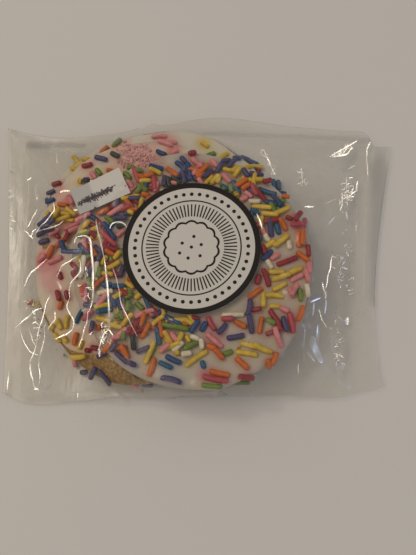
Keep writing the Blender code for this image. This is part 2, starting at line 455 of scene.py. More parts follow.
baked_crust, crust_place = new_finish("baked sugar-cookie crust")
browning = add(baked_crust, "Attribute", attribute_name="browning").outputs["Fac"]
brown_patches = add(baked_crust, "TexNoise", {
    "Vector": crust_place, "Scale": per_mm(5.0), "Detail": 6.0, "Roughness": 0.65,
}).outputs["Fac"]
uneven_brown = add(baked_crust, "Math", {
    0: brown_patches, 1: BROWN_PATCHES, 2: -BROWN_PATCHES / 2,
}, operation="MULTIPLY_ADD").outputs[0]
brown_share = add(baked_crust, "Math", {
    0: browning, 1: uneven_brown,
}, operation="ADD", use_clamp=True).outputs[0]
browned = add(baked_crust, "Mix", {
    "Factor": brown_share, COLOUR_A: colour("#C8A671"), COLOUR_B: colour("#7F5627"),
}, data_type="RGBA").outputs[COLOUR_OUT]
grain = add(baked_crust, "TexNoise", {
    "Vector": crust_place, "Scale": per_mm(0.9), "Detail": 5.0, "Roughness": 0.7,
}).outputs["Fac"]
pits = add(baked_crust, "MapRange", {
    "Value": grain, "From Min": 0.5, "From Max": 0.66, "To Max": 0.8,
}).outputs["Result"]
pitted = add(baked_crust, "Mix", {
    "Factor": pits, COLOUR_A: browned, COLOUR_B: colour("#72502A"),
}, data_type="RGBA").outputs[COLOUR_OUT]
flour = add(baked_crust, "MapRange", {
    "Value": grain, "From Min": 0.48, "From Max": 0.34, "To Max": 0.7,
}).outputs["Result"]
floury = add(baked_crust, "Mix", {
    "Factor": flour, COLOUR_A: pitted, COLOUR_B: colour("#D8BA86"),
}, data_type="RGBA").outputs[COLOUR_OUT]
crust_bump = add(baked_crust, "Bump", {"Height": grain, "Strength": 0.9, "Distance": 0.6 * MM})
crust = add(baked_crust, "BsdfPrincipled", {
    "Base Color": floury, "Roughness": 0.8, "Specular IOR Level": 0.3,
    "Normal": crust_bump.outputs["Normal"],
})
add(baked_crust, "OutputMaterial", {"Surface": crust.outputs["BSDF"]})


def make_biscuit(cookie, seed):
    rings = biscuit_points(cookie, seed)
    piece = piece_from(
        f"biscuit_{cookie}", turned_points(rings), turned_faces(*rings.shape[:2]), baked_crust,
    )
    points = points_of(piece.data)
    places, heights = points[:, :2] - middle_of(cookie), points[:, 2]
    reach = rim_reach(cookie, np.arctan2(places[:, 1], places[:, 0]))
    near_rim = eased(1 - (reach - np.linalg.norm(places, axis=1)) / RIM_BROWN_REACH)
    near_tray = eased(1 - (heights - heights.min()) / TRAY_BROWN_REACH)
    keep_on_mesh(piece, "browning", EVEN_BROWN + RIM_BROWN * near_rim + TRAY_BROWN * near_tray)
    return piece


biscuits = {
    cookie: make_biscuit(cookie, SEEDS["biscuits"] + at) for at, cookie in enumerate(COOKIES)
}
print("biscuits:", {name: len(piece.data.polygons) for name, piece in biscuits.items()})

# %% [markdown]
# ## White icing
#
# The icing is confectioner's sugar and a little milk, spread with a knife while soft. It sets to a smooth
# skin with a round edge, and its gloss is low. It stops about at the rim, runs over it here and there,
# and on the middle cookie it stops well short of the rim at the front left, where biscuit shows.
#
# Its edge is worked out per direction as a slide along the cookie's skin. The thickness falls to nothing
# there along a quarter of an ellipse, as a drop's edge does.

# %% White icing
ICING_THICKNESS = 0.9 * MM
ICING_EDGE = 1.7 * MM            # how far in from its edge it has its full thickness
ICING_ROOT = 0.1 * MM            # its upper face starts this deep in the biscuit
ICING_SUNK = 0.3 * MM            # and its lower face lies this deep in it, so no gap shows
ICING_RINGS = 48
ICING_CROWD = 0.62               # rings crowd towards the edge
ICING_REACH = {"bottom": 2.0 * MM, "middle": 2.3 * MM, "top": 3.0 * MM}
ICING_LIMIT = 1.4 * RIM_ROUND    # it runs down the rim no further than this
ICING_WAVES = ((2, 0.3), (5, 0.4), (9, 0.3), (16, 0.2))    # waves along its edge, and their depth in mm
BARE = {   # where it stops short: direction and spread in degrees, and how far in mm
    "bottom": ((48.0, 34.0, 0.9),),
    "middle": ((252.0, 24.0, 8.0), (276.0, 30.0, 8.0)),
    "top": (),
}
ICING_LUMPS = ((10.0, 0.2), (3.5, 0.13))                   # size and depth in mm


def icing_edge(cookie):
    """How far the icing slides outwards over the skin, in each direction."""
    slide = ICING_REACH[cookie] + 0 * spoke_turns
    for count, depth in ICING_WAVES:
        slide = slide + depth * MM * np.sin(count * spoke_turns + count * COOKIES[cookie][2])
    short = 0 * spoke_turns
    for direction, spread, depth in BARE[cookie]:
        short = np.maximum(short, depth * MM * near_direction(spoke_turns, direction, spread))
    return np.minimum(slide, ICING_LIMIT) - short


def make_icing(cookie, seed, finish):
    flat_reach = rim_reach(cookie, spoke_turns) - RIM_ROUND
    edge = icing_edge(cookie)
    over, under = [], []
    for share in np.linspace(0, 1, ICING_RINGS) ** ICING_CROWD:
        slide = -flat_reach + share * (flat_reach + edge)
        inward = np.clip((edge - slide) / ICING_EDGE, 0, 1)
        lift = ICING_THICKNESS * np.sqrt(1 - (1 - inward) ** 2) - ICING_ROOT
        over.append(on_skin(cookie, slide, lift))
        under.append(on_skin(cookie, slide, -ICING_SUNK))
    rings = np.array(under + over[::-1])
    rings[len(under):] = with_lumps(rings, ICING_LUMPS, seed)[len(under):]
    return piece_from(
        f"icing_{cookie}", turned_points(rings), turned_faces(*rings.shape[:2]), finish,
    )


set_icing, icing_place = new_finish("set sugar icing")
milky = add(set_icing, "TexNoise", {
    "Vector": icing_place, "Scale": per_mm(7.0), "Detail": 4.0, "Roughness": 0.6,
}).outputs["Fac"]
icing_white = add(set_icing, "Mix", {
    "Factor": milky, COLOUR_A: colour("#E6DFD3"), COLOUR_B: colour("#D9CFBF"),
}, data_type="RGBA").outputs[COLOUR_OUT]
stain = add(set_icing, "Attribute", attribute_name="stain").outputs["Color"]
stained = add(set_icing, "Mix", {
    "Factor": 1.0, COLOUR_A: icing_white, COLOUR_B: stain,
}, data_type="RGBA", blend_type="MULTIPLY").outputs[COLOUR_OUT]
icing_skin = add(set_icing, "TexNoise", {
    "Vector": icing_place, "Scale": per_mm(1.4), "Detail": 3.0,
}).outputs["Fac"]
icing_bump = add(set_icing, "Bump", {"Height": icing_skin, "Strength": 0.35, "Distance": 0.15 * MM})
icing_shader = add(set_icing, "BsdfPrincipled", {
    "Base Color": stained, "Roughness": 0.42, "IOR": 1.46, "Subsurface Weight": 0.12,
    "Subsurface Radius": (1.0, 0.8, 0.6), "Subsurface Scale": 1.0 * MM,
    "Normal": icing_bump.outputs["Normal"],
})
add(set_icing, "OutputMaterial", {"Surface": icing_shader.outputs["BSDF"]})

icings = {
    cookie: make_icing(cookie, SEEDS["icings"] + at, set_icing) for at, cookie in enumerate(COOKIES)
}
cookie_skins = {cookie: skin_of(biscuits[cookie], icings[cookie]) for cookie in COOKIES}
print("icing faces:", {name: len(piece.data.polygons) for name, piece in icings.items()})

# %% [markdown]
# ## Sprinkles: where they lie
#
# Sprinkles are short rods of coloured sugar, about 7 mm long and 2 mm thick. They were shaken on while
# the icing was soft, so they sink a little into it and pile up on each other in the middle.
#
# The ones that can be told apart from above are listed one by one, by the picture's pixel at each of
# their two ends. They could all be scattered at random, but the sparse ones on white icing are what the
# eye compares. The rest fill the heap below them, from a seeded random draw.
#
# A height map of each cookie makes the pile. Every rod is laid on the highest thing under it, sinks a
# little, and is then stamped into the map for the next one.

# %% Sprinkles that show one by one
SEEN_SPRINKLES = {   # for each colour: first end u, v and second end u, v in the picture
    "yellow": (
        (264, 293, 263, 307), (266, 296, 283, 297), (270, 306, 280, 307), (241, 343, 257, 347),
        (254, 345, 272, 352), (236, 352, 257, 355), (152, 326, 164, 317), (166, 321, 187, 320),
        (186, 320, 193, 324), (164, 332, 172, 344), (182, 333, 178, 342), (186, 336, 190, 342),
        (207, 351, 186, 366), (154, 342, 145, 363), (133, 315, 121, 328), (252, 207, 271, 209),
        (262, 213, 278, 216), (275, 215, 289, 207), (262, 216, 261, 227), (275, 241, 266, 247),
        (288, 235, 274, 247), (302, 268, 289, 274), (269, 272, 284, 272), (272, 280, 290, 275),
        (273, 290, 286, 283), (228, 153, 219, 161), (223, 169, 233, 171), (238, 167, 232, 173),
        (241, 169, 234, 177), (243, 169, 253, 166), (252, 166, 263, 168), (217, 183, 220, 176),
        (235, 193, 238, 198), (201, 142, 208, 147), (205, 184, 213, 176), (211, 184, 219, 176),
        (140, 183, 151, 181), (122, 200, 139, 195), (128, 212, 134, 214), (82, 159, 89, 160),
        (78, 181, 84, 182), (54, 207, 57, 217), (60, 213, 75, 215), (64, 219, 74, 221),
        (43, 219, 53, 215), (83, 229, 90, 222), (78, 260, 83, 263), (102, 265, 107, 257),
        (114, 259, 121, 252), (108, 269, 120, 262), (126, 282, 134, 288), (57, 319, 61, 329),
        (66, 328, 68, 316), (50, 330, 54, 325), (62, 335, 67, 342), (95, 308, 111, 303),
        (96, 318, 111, 321), (109, 324, 122, 328), (82, 340, 79, 349), (70, 357, 86, 356),
        (150, 170, 161, 174), (256, 181, 263, 180), (35, 307, 42, 303), (50, 222, 60, 209),
        (57, 222, 71, 217), (67, 209, 77, 216), (48, 214, 54, 222), (73, 157, 80, 165),
        (71, 168, 80, 171), (55, 335, 61, 343),
    ),
    "orange": (
        (262, 288, 249, 298), (262, 317, 259, 333), (235, 321, 246, 327), (303, 306, 298, 321),
        (207, 345, 216, 349), (215, 350, 223, 359), (236, 358, 248, 369), (277, 353, 272, 365),
        (268, 360, 269, 369), (210, 371, 229, 375), (148, 302, 152, 317), (145, 313, 141, 326),
        (150, 324, 141, 338), (154, 358, 148, 376), (122, 346, 128, 358), (279, 219, 286, 230),
        (299, 232, 299, 247), (303, 231, 302, 246), (297, 252, 310, 262), (236, 187, 247, 180),
        (242, 190, 250, 185), (282, 198, 289, 200), (167, 168, 178, 177), (196, 176, 209, 165),
        (137, 177, 146, 178), (145, 177, 154, 175), (142, 194, 149, 196), (101, 153, 108, 147),
        (58, 204, 68, 205), (64, 239, 56, 247), (54, 247, 47, 258), (86, 246, 92, 251),
        (93, 249, 97, 257), (81, 286, 84, 296), (93, 289, 104, 278), (104, 276, 112, 275),
        (98, 214, 109, 210), (106, 251, 114, 255), (28, 304, 35, 302), (59, 309, 62, 301),
        (96, 328, 103, 327), (77, 333, 74, 345), (113, 341, 103, 352), (107, 170, 113, 171),
        (126, 201, 132, 208),
    ),
    "dark_red": (
        (252, 310, 261, 309), (270, 310, 282, 326), (277, 320, 281, 331), (266, 334, 275, 331),
        (239, 378, 254, 379), (136, 320, 134, 336), (154, 310, 159, 318), (286, 217, 292, 219),
        (301, 213, 295, 222), (308, 245, 309, 256), (277, 265, 297, 257), (263, 270, 269, 286),
        (259, 275, 257, 284), (255, 171, 261, 172), (263, 184, 271, 181), (189, 155, 196, 153),
        (149, 189, 156, 189), (133, 198, 139, 205), (82, 166, 92, 164), (52, 185, 61, 183),
        (53, 232, 59, 238), (70, 231, 66, 242), (90, 232, 96, 238), (71, 263, 77, 271),
        (73, 272, 76, 279), (59, 272, 61, 279), (57, 291, 60, 301), (66, 291, 68, 299),
        (97, 221, 103, 227), (85, 350, 91, 351), (91, 347, 99, 348), (113, 271, 118, 277),
        (262, 246, 264, 254), (192, 318, 199, 319),
    ),
    "magenta": (
        (289, 313, 294, 333), (203, 376, 228, 381), (208, 317, 215, 330), (222, 319, 233, 319),
        (252, 185, 257, 196), (291, 226, 303, 224), (305, 219, 303, 229), (86, 284, 84, 298),
        (101, 231, 116, 246), (93, 311, 83, 320), (120, 211, 131, 207),
    ),
    "pink": (
        (280, 308, 288, 312), (275, 328, 282, 347), (290, 288, 293, 297), (207, 334, 222, 347),
        (171, 333, 178, 342), (170, 345, 160, 352), (271, 259, 279, 254), (291, 281, 303, 275),
        (305, 270, 309, 282), (309, 263, 310, 274), (297, 285, 291, 296), (262, 228, 266, 236),
        (223, 175, 230, 182), (245, 192, 252, 197), (240, 201, 247, 197), (211, 161, 217, 167),
        (164, 142, 176, 143), (168, 156, 177, 150), (158, 183, 155, 192), (128, 182, 133, 188),
        (91, 172, 96, 179), (68, 196, 73, 205), (64, 229, 82, 221), (108, 216, 124, 207),
        (117, 236, 125, 230), (86, 292, 86, 302), (112, 338, 120, 337), (75, 359, 76, 367),
        (127, 382, 139, 389), (38, 262, 46, 256), (48, 263, 62, 257), (70, 233, 85, 226),
        (76, 222, 91, 215), (50, 236, 60, 230), (152, 137, 166, 136), (158, 141, 172, 146),
    ),
    "purple": (
        (250, 300, 247, 316), (249, 316, 252, 333), (226, 324, 218, 334), (227, 338, 244, 335),
        (283, 317, 288, 332), (161, 378, 181, 383), (116, 353, 127, 363), (270, 220, 272, 236),
        (216, 173, 222, 164), (222, 163, 231, 161), (228, 168, 236, 161), (243, 170, 248, 178),
        (250, 175, 263, 176), (278, 193, 286, 194), (203, 178, 213, 171), (181, 157, 186, 163),
        (182, 172, 185, 183), (165, 176, 164, 187), (95, 157, 107, 160), (84, 182, 90, 181),
        (47, 194, 55, 192), (40, 228, 54, 218), (38, 237, 55, 231), (82, 235, 92, 230),
        (95, 246, 102, 253), (103, 253, 98, 262), (92, 265, 89, 280), (116, 219, 127, 219),
        (120, 277, 124, 265), (93, 322, 92, 331), (97, 357, 112, 352), (117, 344, 111, 352),
        (97, 369, 91, 380), (99, 371, 110, 385), (144, 386, 154, 387), (129, 363, 136, 366),
        (81, 373, 88, 372), (43, 233, 57, 224), (39, 243, 49, 240), (46, 199, 54, 204),
    ),
    "blue": (
        (199, 321, 191, 333), (206, 322, 201, 331), (166, 356, 181, 363), (272, 250, 262, 260),
        (233, 158, 241, 158), (241, 157, 249, 160), (265, 203, 274, 204), (190, 171, 190, 181),
        (187, 164, 192, 171), (157, 151, 166, 156), (46, 203, 55, 200), (62, 243, 66, 252),
        (62, 252, 85, 253), (104, 224, 115, 240), (112, 298, 115, 307), (118, 299, 122, 311),
        (150, 167, 163, 169), (247, 160, 258, 165),
    ),
    "teal": (
        (157, 329, 159, 345), (159, 362, 172, 368), (202, 361, 204, 368), (252, 210, 259, 214),
        (276, 224, 279, 234), (221, 185, 227, 190), (259, 188, 276, 196), (273, 180, 275, 193),
        (278, 181, 279, 190), (277, 203, 282, 207), (103, 286, 112, 285), (113, 287, 125, 286),
        (86, 306, 76, 323), (97, 313, 112, 309),
    ),
    "green": (
        (266, 320, 275, 325), (224, 354, 232, 351), (232, 384, 250, 384), (202, 385, 222, 387),
        (162, 325, 176, 328), (174, 327, 189, 329), (198, 342, 184, 350), (129, 302, 128, 312),
        (136, 303, 143, 310), (300, 289, 301, 301), (228, 185, 232, 193), (207, 156, 215, 153),
        (138, 186, 147, 191), (136, 193, 142, 187), (124, 172, 130, 179), (134, 172, 142, 171),
        (113, 147, 121, 139), (106, 218, 113, 223), (98, 278, 101, 268), (125, 297, 132, 292),
        (115, 318, 123, 316), (121, 312, 123, 320), (126, 299, 132, 295), (126, 310, 132, 306),
        (124, 331, 123, 340), (96, 169, 101, 175), (127, 168, 135, 168),
    ),
    "bottle_green": (
        (133, 337, 134, 350), (172, 177, 180, 184), (168, 178, 170, 188), (111, 153, 119, 157),
        (117, 227, 124, 224),
    ),
    "white": (
        (222, 315, 244, 315), (183, 343, 173, 351), (182, 355, 191, 353), (191, 337, 199, 340),
        (201, 340, 202, 349), (265, 235, 269, 241), (267, 261, 272, 268), (289, 241, 290, 249),
        (249, 202, 260, 202), (85, 257, 80, 278), (97, 293, 113, 292), (306, 285, 308, 297),
    ),
}
print("sprinkles listed:", sum(len(rods) for rods in SEEN_SPRINKLES.values()))

# %% Height maps of the cookies
MAP_CELL = 0.5 * MM
MAP_HALF = 51.0 * MM
SPRINKLE_RADIUS = 0.97 * MM
SINK = 0.42                      # share of its radius that a rod sinks into what is under it
LEAN_LIMIT = 0.3
TOP_OF_HEAP = 22.1 * MM          # under the label; elsewhere the film can give a little
SLACK_OF_FILM = 0.7 * MM
SLACK_FROM, SLACK_FADE = 1.0 * MM, 5.0 * MM        # where that starts outside the label, and how slowly
LABEL_MIDDLE = np.array((0.1, -3.7)) * MM
LABEL_RADIUS = 25.4 * MM
UNDER_A_COOKIE = 1.0 * MM


def height_map(cookie):
    """Heights of the cookie's upper side on a square grid, and -1 where it has none."""
    middle = middle_of(cookie)
    steps = np.arange(-MAP_HALF, MAP_HALF, MAP_CELL)
    heights = heights_on_grid(cookie_skins[cookie], middle[0] + steps, middle[1] + steps, DOWN, -1.0)
    return {"corner": middle - MAP_HALF, "heights": heights}


def cells_at(chart, places):
    """The grid cells of places in plan."""
    cells = np.floor((places - chart["corner"]) / MAP_CELL + 0.5).astype(int)
    return np.clip(cells, 0, chart["heights"].shape[0] - 1)


def inside(cookie, place, margin):
    """Whether a place in plan is within the cookie's rim, less a margin."""
    off = place - middle_of(cookie)
    return np.linalg.norm(off) < rim_reach(cookie, math.atan2(off[1], off[0])) - margin


def ceiling(cookie, place):
    """How high a sprinkle may reach: to the next cookie's underside, or to the film."""
    for above in cookies_above(cookie):
        if inside(above, place, -UNDER_A_COOKIE):
            return base_of(above)
    from_label = np.linalg.norm(place - LABEL_MIDDLE) - LABEL_RADIUS
    return TOP_OF_HEAP + SLACK_OF_FILM * float(eased((from_label - SLACK_FROM) / SLACK_FADE))


charts = {cookie: height_map(cookie) for cookie in COOKIES}
print("height maps:", {name: chart["heights"].shape for name, chart in charts.items()})

# %% Lay the sprinkles
ALONG_ROD = np.linspace(-0.85, 0.85, 7)
FOOTPRINT = 0.5                  # the share of its radius on each side that looks for what is under it
ENDS_APART = 1.2                 # how far apart its two ends count as lying, in half lengths
END_ROOM = 0.6                   # the share of a leaning end's height that has to fit under the film
sprinkles = {name: [] for name in SEEN_SPRINKLES}     # for each colour: (start, end, radius, bend)


def stamp_rod(chart, start, end, radius):
    """Raises the height map to the upper side of a rod."""
    heights, corner = chart["heights"], chart["corner"]
    span = np.arange(-int(radius / MAP_CELL) - 1, int(radius / MAP_CELL) + 2)
    steps = max(3, int(np.linalg.norm((end - start)[:2]) / MAP_CELL))
    for share in np.linspace(0, 1, steps):
        spot = start + (end - start) * share
        column, row = cells_at(chart, spot[:2])
        grid_x, grid_y = np.meshgrid(column + span, row + span, indexing="ij")
        off_x = corner[0] + grid_x * MAP_CELL - spot[0]
        off_y = corner[1] + grid_y * MAP_CELL - spot[1]
        bulge = radius**2 - off_x**2 - off_y**2
        top = spot[2] + np.sqrt(np.maximum(bulge, 0))
        cells = np.clip(grid_x, 0, len(heights) - 1), np.clip(grid_y, 0, len(heights) - 1)
        old = heights[cells]
        heights[cells] = np.where((bulge > 0) & (old > 0), np.maximum(old, top), old)


def lay_rod(name, cookie, middle, direction, half_length, radius, bend):
    """Lays one sprinkle on the cookie's heap. False if there is nothing to lie on."""
    chart = charts[cookie]
    places = middle + np.outer(ALONG_ROD * half_length, direction)
    across = np.array((-direction[1], direction[0])) * radius * FOOTPRINT
    under = np.max([
        chart["heights"][tuple(cells_at(chart, places + shift).T)] for shift in (-across, 0 * across, across)
    ], axis=0)
    if under.max() < 0:
        return False
    under = np.where(under < 0, under.max() - radius, under)
    halfway = len(ALONG_ROD) // 2
    rise = under[halfway + 1:].max() - under[:halfway].max()
    lean = float(np.clip(rise / (ENDS_APART * half_length), -LEAN_LIMIT, LEAN_LIMIT))
    rest = (under - lean * ALONG_ROD * half_length).max() + radius * (1 - SINK)
    rest = min(rest, ceiling(cookie, middle) - radius - abs(lean) * half_length * END_ROOM)
    reach = np.append(direction, lean) * half_length
    centre = np.append(middle, rest)
    sprinkles[name].append((centre - reach, centre + reach, radius, bend))
    stamp_rod(chart, centre - reach, centre + reach, radius)
    return True


# %% [markdown]
# ### The hidden filling of the heap
#
# Under the listed sprinkles the heap goes on: round the label and over the left half of the top cookie,
# and on the two lower cookies just inside the rim of the one above. These come from a seeded draw, with
# the colours in the shares of the real mix. They are laid first, so that the listed ones end up on top.

# %% Fill the heap at random
MIX = {
    "yellow": 0.22, "orange": 0.15, "dark_red": 0.11, "magenta": 0.05, "pink": 0.12, "purple": 0.11,
    "blue": 0.07, "teal": 0.06, "green": 0.07, "bottle_green": 0.01, "white": 0.03,
}
FILLING = {"top": 150, "middle": 70, "bottom": 60}        # how many are laid on each cookie
SPARSE_SIDE = np.array((0.78, -0.62))     # towards the front right the icing is nearly bare
SPARSE_FROM = 17.0 * MM
HALF_LENGTH = (3.4 * MM, 0.45 * MM)       # mean and spread of half a sprinkle's length
FILLING_WIDTHS, FILLING_BEND = (0.9, 1.08), 0.05      # shares of the radius, and spread of the bend
RIM_MARGIN = 3.0 * MM                     # the filling stays this far inside its cookie's rim
HIDDEN_BAND = (1.0 * MM, 10.0 * MM)       # and within this band inside the rim of the cookie above
draw = np.random.default_rng(SEEDS["sprinkles"])


def towards(turn):
    """The direction in plan for an angle."""
    return np.array((math.cos(turn), math.sin(turn)))


def wanted_in_heap(cookie, place):
    """Whether the filling covers this place of the cookie."""
    if not inside(cookie, place, RIM_MARGIN):
        return False
    if cookie == "top":
        return (place - LABEL_MIDDLE) @ SPARSE_SIDE < SPARSE_FROM
    above = cookies_above(cookie)[0]
    return inside(above, place, HIDDEN_BAND[0]) and not inside(above, place, HIDDEN_BAND[1])


for cookie, count in FILLING.items():
    laid = 0
    while laid < count:
        place = middle_of(cookie) + draw.uniform(-MAP_HALF, MAP_HALF, 2)
        if not wanted_in_heap(cookie, place):
            continue
        turn = draw.uniform(0, math.pi)
        lay_rod(
            draw.choice(list(MIX), p=list(MIX.values())), cookie, place, towards(turn),
            draw.normal(*HALF_LENGTH), SPRINKLE_RADIUS * draw.uniform(*FILLING_WIDTHS),
            draw.normal(0, FILLING_BEND),
        )
        laid += 1
print("filling laid:", FILLING)

# %% Lay the listed sprinkles
LISTED_WIDTHS, LISTED_BEND = (0.92, 1.08), 0.06      # the same two as for the filling
END_CAP = 0.25 * MM              # the listed ends are a little inside the real ones
FLOOR_OF_BAG = 0.35 * MM         # how far loose sprinkles lie above the bag's underside
bag_skin = skin_of(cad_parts["bag"])


def floor_at(*places):
    """The height that a loose thing lies at: just above the bag's underside at all of its places."""
    met = [met_by(bag_skin, place, -DOWN) for place in places]
    return FLOOR_OF_BAG + max((spot.z for spot in met if spot is not None), default=0.0)


def carried_by(u, v):
    """The cookie that shows at a pixel, and the height there. None and the bag's floor outside the stack."""
    ray = line_of_sight(u, v)
    found, nearest, height = None, math.inf, FLOOR_OF_BAG
    for cookie, skin in cookie_skins.items():
        hit, _, _, distance = skin.ray_cast(CAMERA_PLACE, ray)
        if hit is not None and distance < nearest:
            found, nearest, height = cookie, distance, hit.z
    return found, height


for name, rods in SEEN_SPRINKLES.items():
    for u0, v0, u1, v1 in rods:
        cookie, height = carried_by((u0 + u1) / 2, (v0 + v1) / 2)
        start = np.array(seen_at(u0, v0, height + SPRINKLE_RADIUS / 2))[:2]
        end = np.array(seen_at(u1, v1, height + SPRINKLE_RADIUS / 2))[:2]
        half_length = np.linalg.norm(end - start) / 2
        direction = (end - start) / (2 * half_length)
        half_length += END_CAP
        radius = SPRINKLE_RADIUS * draw.uniform(*LISTED_WIDTHS)
        bend = draw.normal(0, LISTED_BEND)
        middle = (start + end) / 2
        if cookie is None or not lay_rod(name, cookie, middle, direction, half_length, radius, bend):
            rest = np.append(middle, floor_at(start, middle, end) + radius)
            reach = np.append(direction, 0.0) * half_length
            sprinkles[name].append((rest - reach, rest + reach, radius, bend))
print("sprinkles in all:", sum(len(rods) for rods in sprinkles.values()))

# %% [markdown]
# ## Sprinkles: their shape and finish
#
# Each sprinkle is cut from a long extruded string of sugar paste, so it is a rod with blunt, slightly
# rounded ends, and it is a little bent. Eight sides would show as facets, so these rods have ten. All the
# rods of one colour are one mesh, worked out in one go from their two ends.
#
# The paste is coated with confectioner's glaze, which gives a soft, wide highlight. Its colour is never
# quite even: it is paler where the glaze has rubbed off and deeper where it has pooled. There are eleven
# colours, and two paler ones for the crushed sprinkles of the next step.

# %% Shape of a sprinkle
ROD_SIDES = 10
ROD_RINGS = (   # how far from the rod's middle (as a share, less a share of the radius), and how wide
    (1.0, 0.0, 0.0), (1.0, 0.1, 0.55), (1.0, 0.35, 0.87), (1.0, 0.85, 1.0), (0.45, 0.0, 1.0),
    (0.0, 0.0, 1.02),
)


def rod_rings(start, end, radius, bend):
    """Rings of points of one sprinkle, from one end to the other."""
    middle, reach = (start + end) / 2, (end - start) / 2
    half_length = np.linalg.norm(reach)
    forward = reach / half_length
    side = np.cross(forward, (0.0, 0.0, 1.0))
    side /= np.linalg.norm(side)
    up = np.cross(side, forward)
    turns = np.linspace(0, TURN, ROD_SIDES, endpoint=False)[:, None]
    circle = np.cos(turns) * side + np.sin(turns) * up
    spots = [(-(share * half_length - back * radius), wide) for share, back, wide in ROD_RINGS]
    spots += [(-spot, wide) for spot, wide in spots[-2::-1]]
    rings = []
    for spot, wide in spots:
        share = spot / half_length
        centre = middle + forward * spot + side * bend * half_length * (1 - share**2)
        rings.append(centre + circle * radius * wide)
    return np.array(rings)


def many_copies(name, shapes, pattern, finish):
    """One piece from many shapes that have their faces numbered alike."""
    faces = [
        [number * len(shapes[0]) + at for at in face] for number in range(len(shapes)) for face in pattern
    ]
    return piece_from(name, np.concatenate(shapes), faces, finish)


def rods_mesh(name, rods, finish):
    shapes = [turned_points(rod_rings(*rod)) for rod in rods]
    return many_copies(name, shapes, turned_faces(2 * len(ROD_RINGS) - 1, ROD_SIDES), finish)


# %% Glazed sugar
SPRINKLE_HEX = {   # the middle colour of each
    "yellow": "#D8B63B", "orange": "#CC661B", "dark_red": "#95212E", "magenta": "#B64452",
    "pink": "#DD888D", "purple": "#453F6A", "blue": "#1B4078", "teal": "#1B557A", "green": "#6E8535",
    "bottle_green": "#2B342F", "white": "#E0D5BE",
    "crushed_pink": "#EBB4AF", "crushed_mauve": "#DA929A",
}


def glazed_sugar(name, hex_code):
    """Sugar paste under a thin glaze, deeper and paler in patches."""
    finish, place = new_finish(f"glazed sugar, {name.replace('_', ' ')}")
    patch = add(finish, "TexNoise", {
        "Vector": place, "Scale": per_mm(3.0), "Detail": 4.0, "Roughness": 0.6,
    }).outputs["Fac"]
    brighter = add(finish, "MapRange", {
        "Value": patch, "From Min": 0.3, "From Max": 0.7, "To Min": 0.78, "To Max": 1.2,
    }).outputs["Result"]
    shaded = add(finish, "HueSaturation", {"Value": brighter, "Color": colour(hex_code)})
    rub = add(finish, "TexNoise", {
        "Vector": place, "Scale": per_mm(0.9), "Detail": 3.0, "Roughness": 0.6,
    }).outputs["Fac"]
    shine = add(finish, "MapRange", {"Value": rub, "To Min": 0.3, "To Max": 0.5}).outputs["Result"]
    bump = add(finish, "Bump", {"Height": rub, "Strength": 0.3, "Distance": 0.12 * MM})
    shader = add(finish, "BsdfPrincipled", {
        "Base Color": shaded.outputs["Color"], "Roughness": shine, "IOR": 1.48,
        "Normal": bump.outputs["Normal"],
    })
    add(finish, "OutputMaterial", {"Surface": shader.outputs["BSDF"]})
    return finish


sprinkle_finishes = {name: glazed_sugar(name, code) for name, code in SPRINKLE_HEX.items()}

# %% [markdown]
# ## The crushed patch
#
# On the middle cookie, beside the price sticker, a heap of pink sprinkles was crushed against the film.
# They broke into crumbs, smeared, and took up white from the icing, so there are two paler colours for
# them. Short thick bits that are packed close make it, pressed into the icing in a single layer.

# %% The crushed patch
CRUSHED = (   # middle u, v and half width and height in pixels, how many bits, and the mix of colours
    (124, 147, 8, 6, 30, {"crushed_pink": 0.55, "orange": 0.15, "crushed_mauve": 0.3}),
    (127, 159, 11, 9, 75, {"crushed_pink": 0.88, "crushed_mauve": 0.12}),
    (140, 156, 14, 12, 120, {"crushed_pink": 0.6, "crushed_mauve": 0.4}),
    (151, 163, 10, 6, 40, {"crushed_pink": 0.5, "crushed_mauve": 0.5}),
)
BIT_LENGTH, BIT_RADIUS = (0.2 * MM, 0.9 * MM), (0.45 * MM, 0.75 * MM)
BIT_SUNK = (0.35, 0.9)           # share of its radius that a bit's middle lies under the icing
BIT_DIRECTION, BIT_DISORDER = math.radians(-38), 0.6       # which way they lie, and how unevenly
sprinkles |= {"crushed_pink": [], "crushed_mauve": []}

for u_middle, v_middle, wide, tall, count, mix in CRUSHED:
    for _ in range(count):
        angle, share = draw.uniform(0, TURN), math.sqrt(draw.uniform(0, 1))
        u, v = np.array((u_middle, v_middle)) + towards(angle) * share * (wide, tall)
        name = draw.choice(list(mix), p=list(mix.values()))
        turn = BIT_DIRECTION + draw.normal(0, BIT_DISORDER)
        cookie, height = carried_by(u, v)
        if cookie is not None:
            radius = draw.uniform(*BIT_RADIUS)
            middle = np.array(seen_at(u, v, height)) - (0, 0, draw.uniform(*BIT_SUNK) * radius)
            reach = np.append(towards(turn), 0.0) * draw.uniform(*BIT_LENGTH)
            sprinkles[name].append((middle - reach, middle + reach, radius, 0.0))

sprinkle_pieces = [
    rods_mesh(f"sprinkles_{name}", rods, sprinkle_finishes[name]) for name, rods in sprinkles.items()
]
print("triangles per colour:", {
    piece.name: sum(len(face.vertices) - 2 for face in piece.data.polygons) for piece in sprinkle_pieces
})
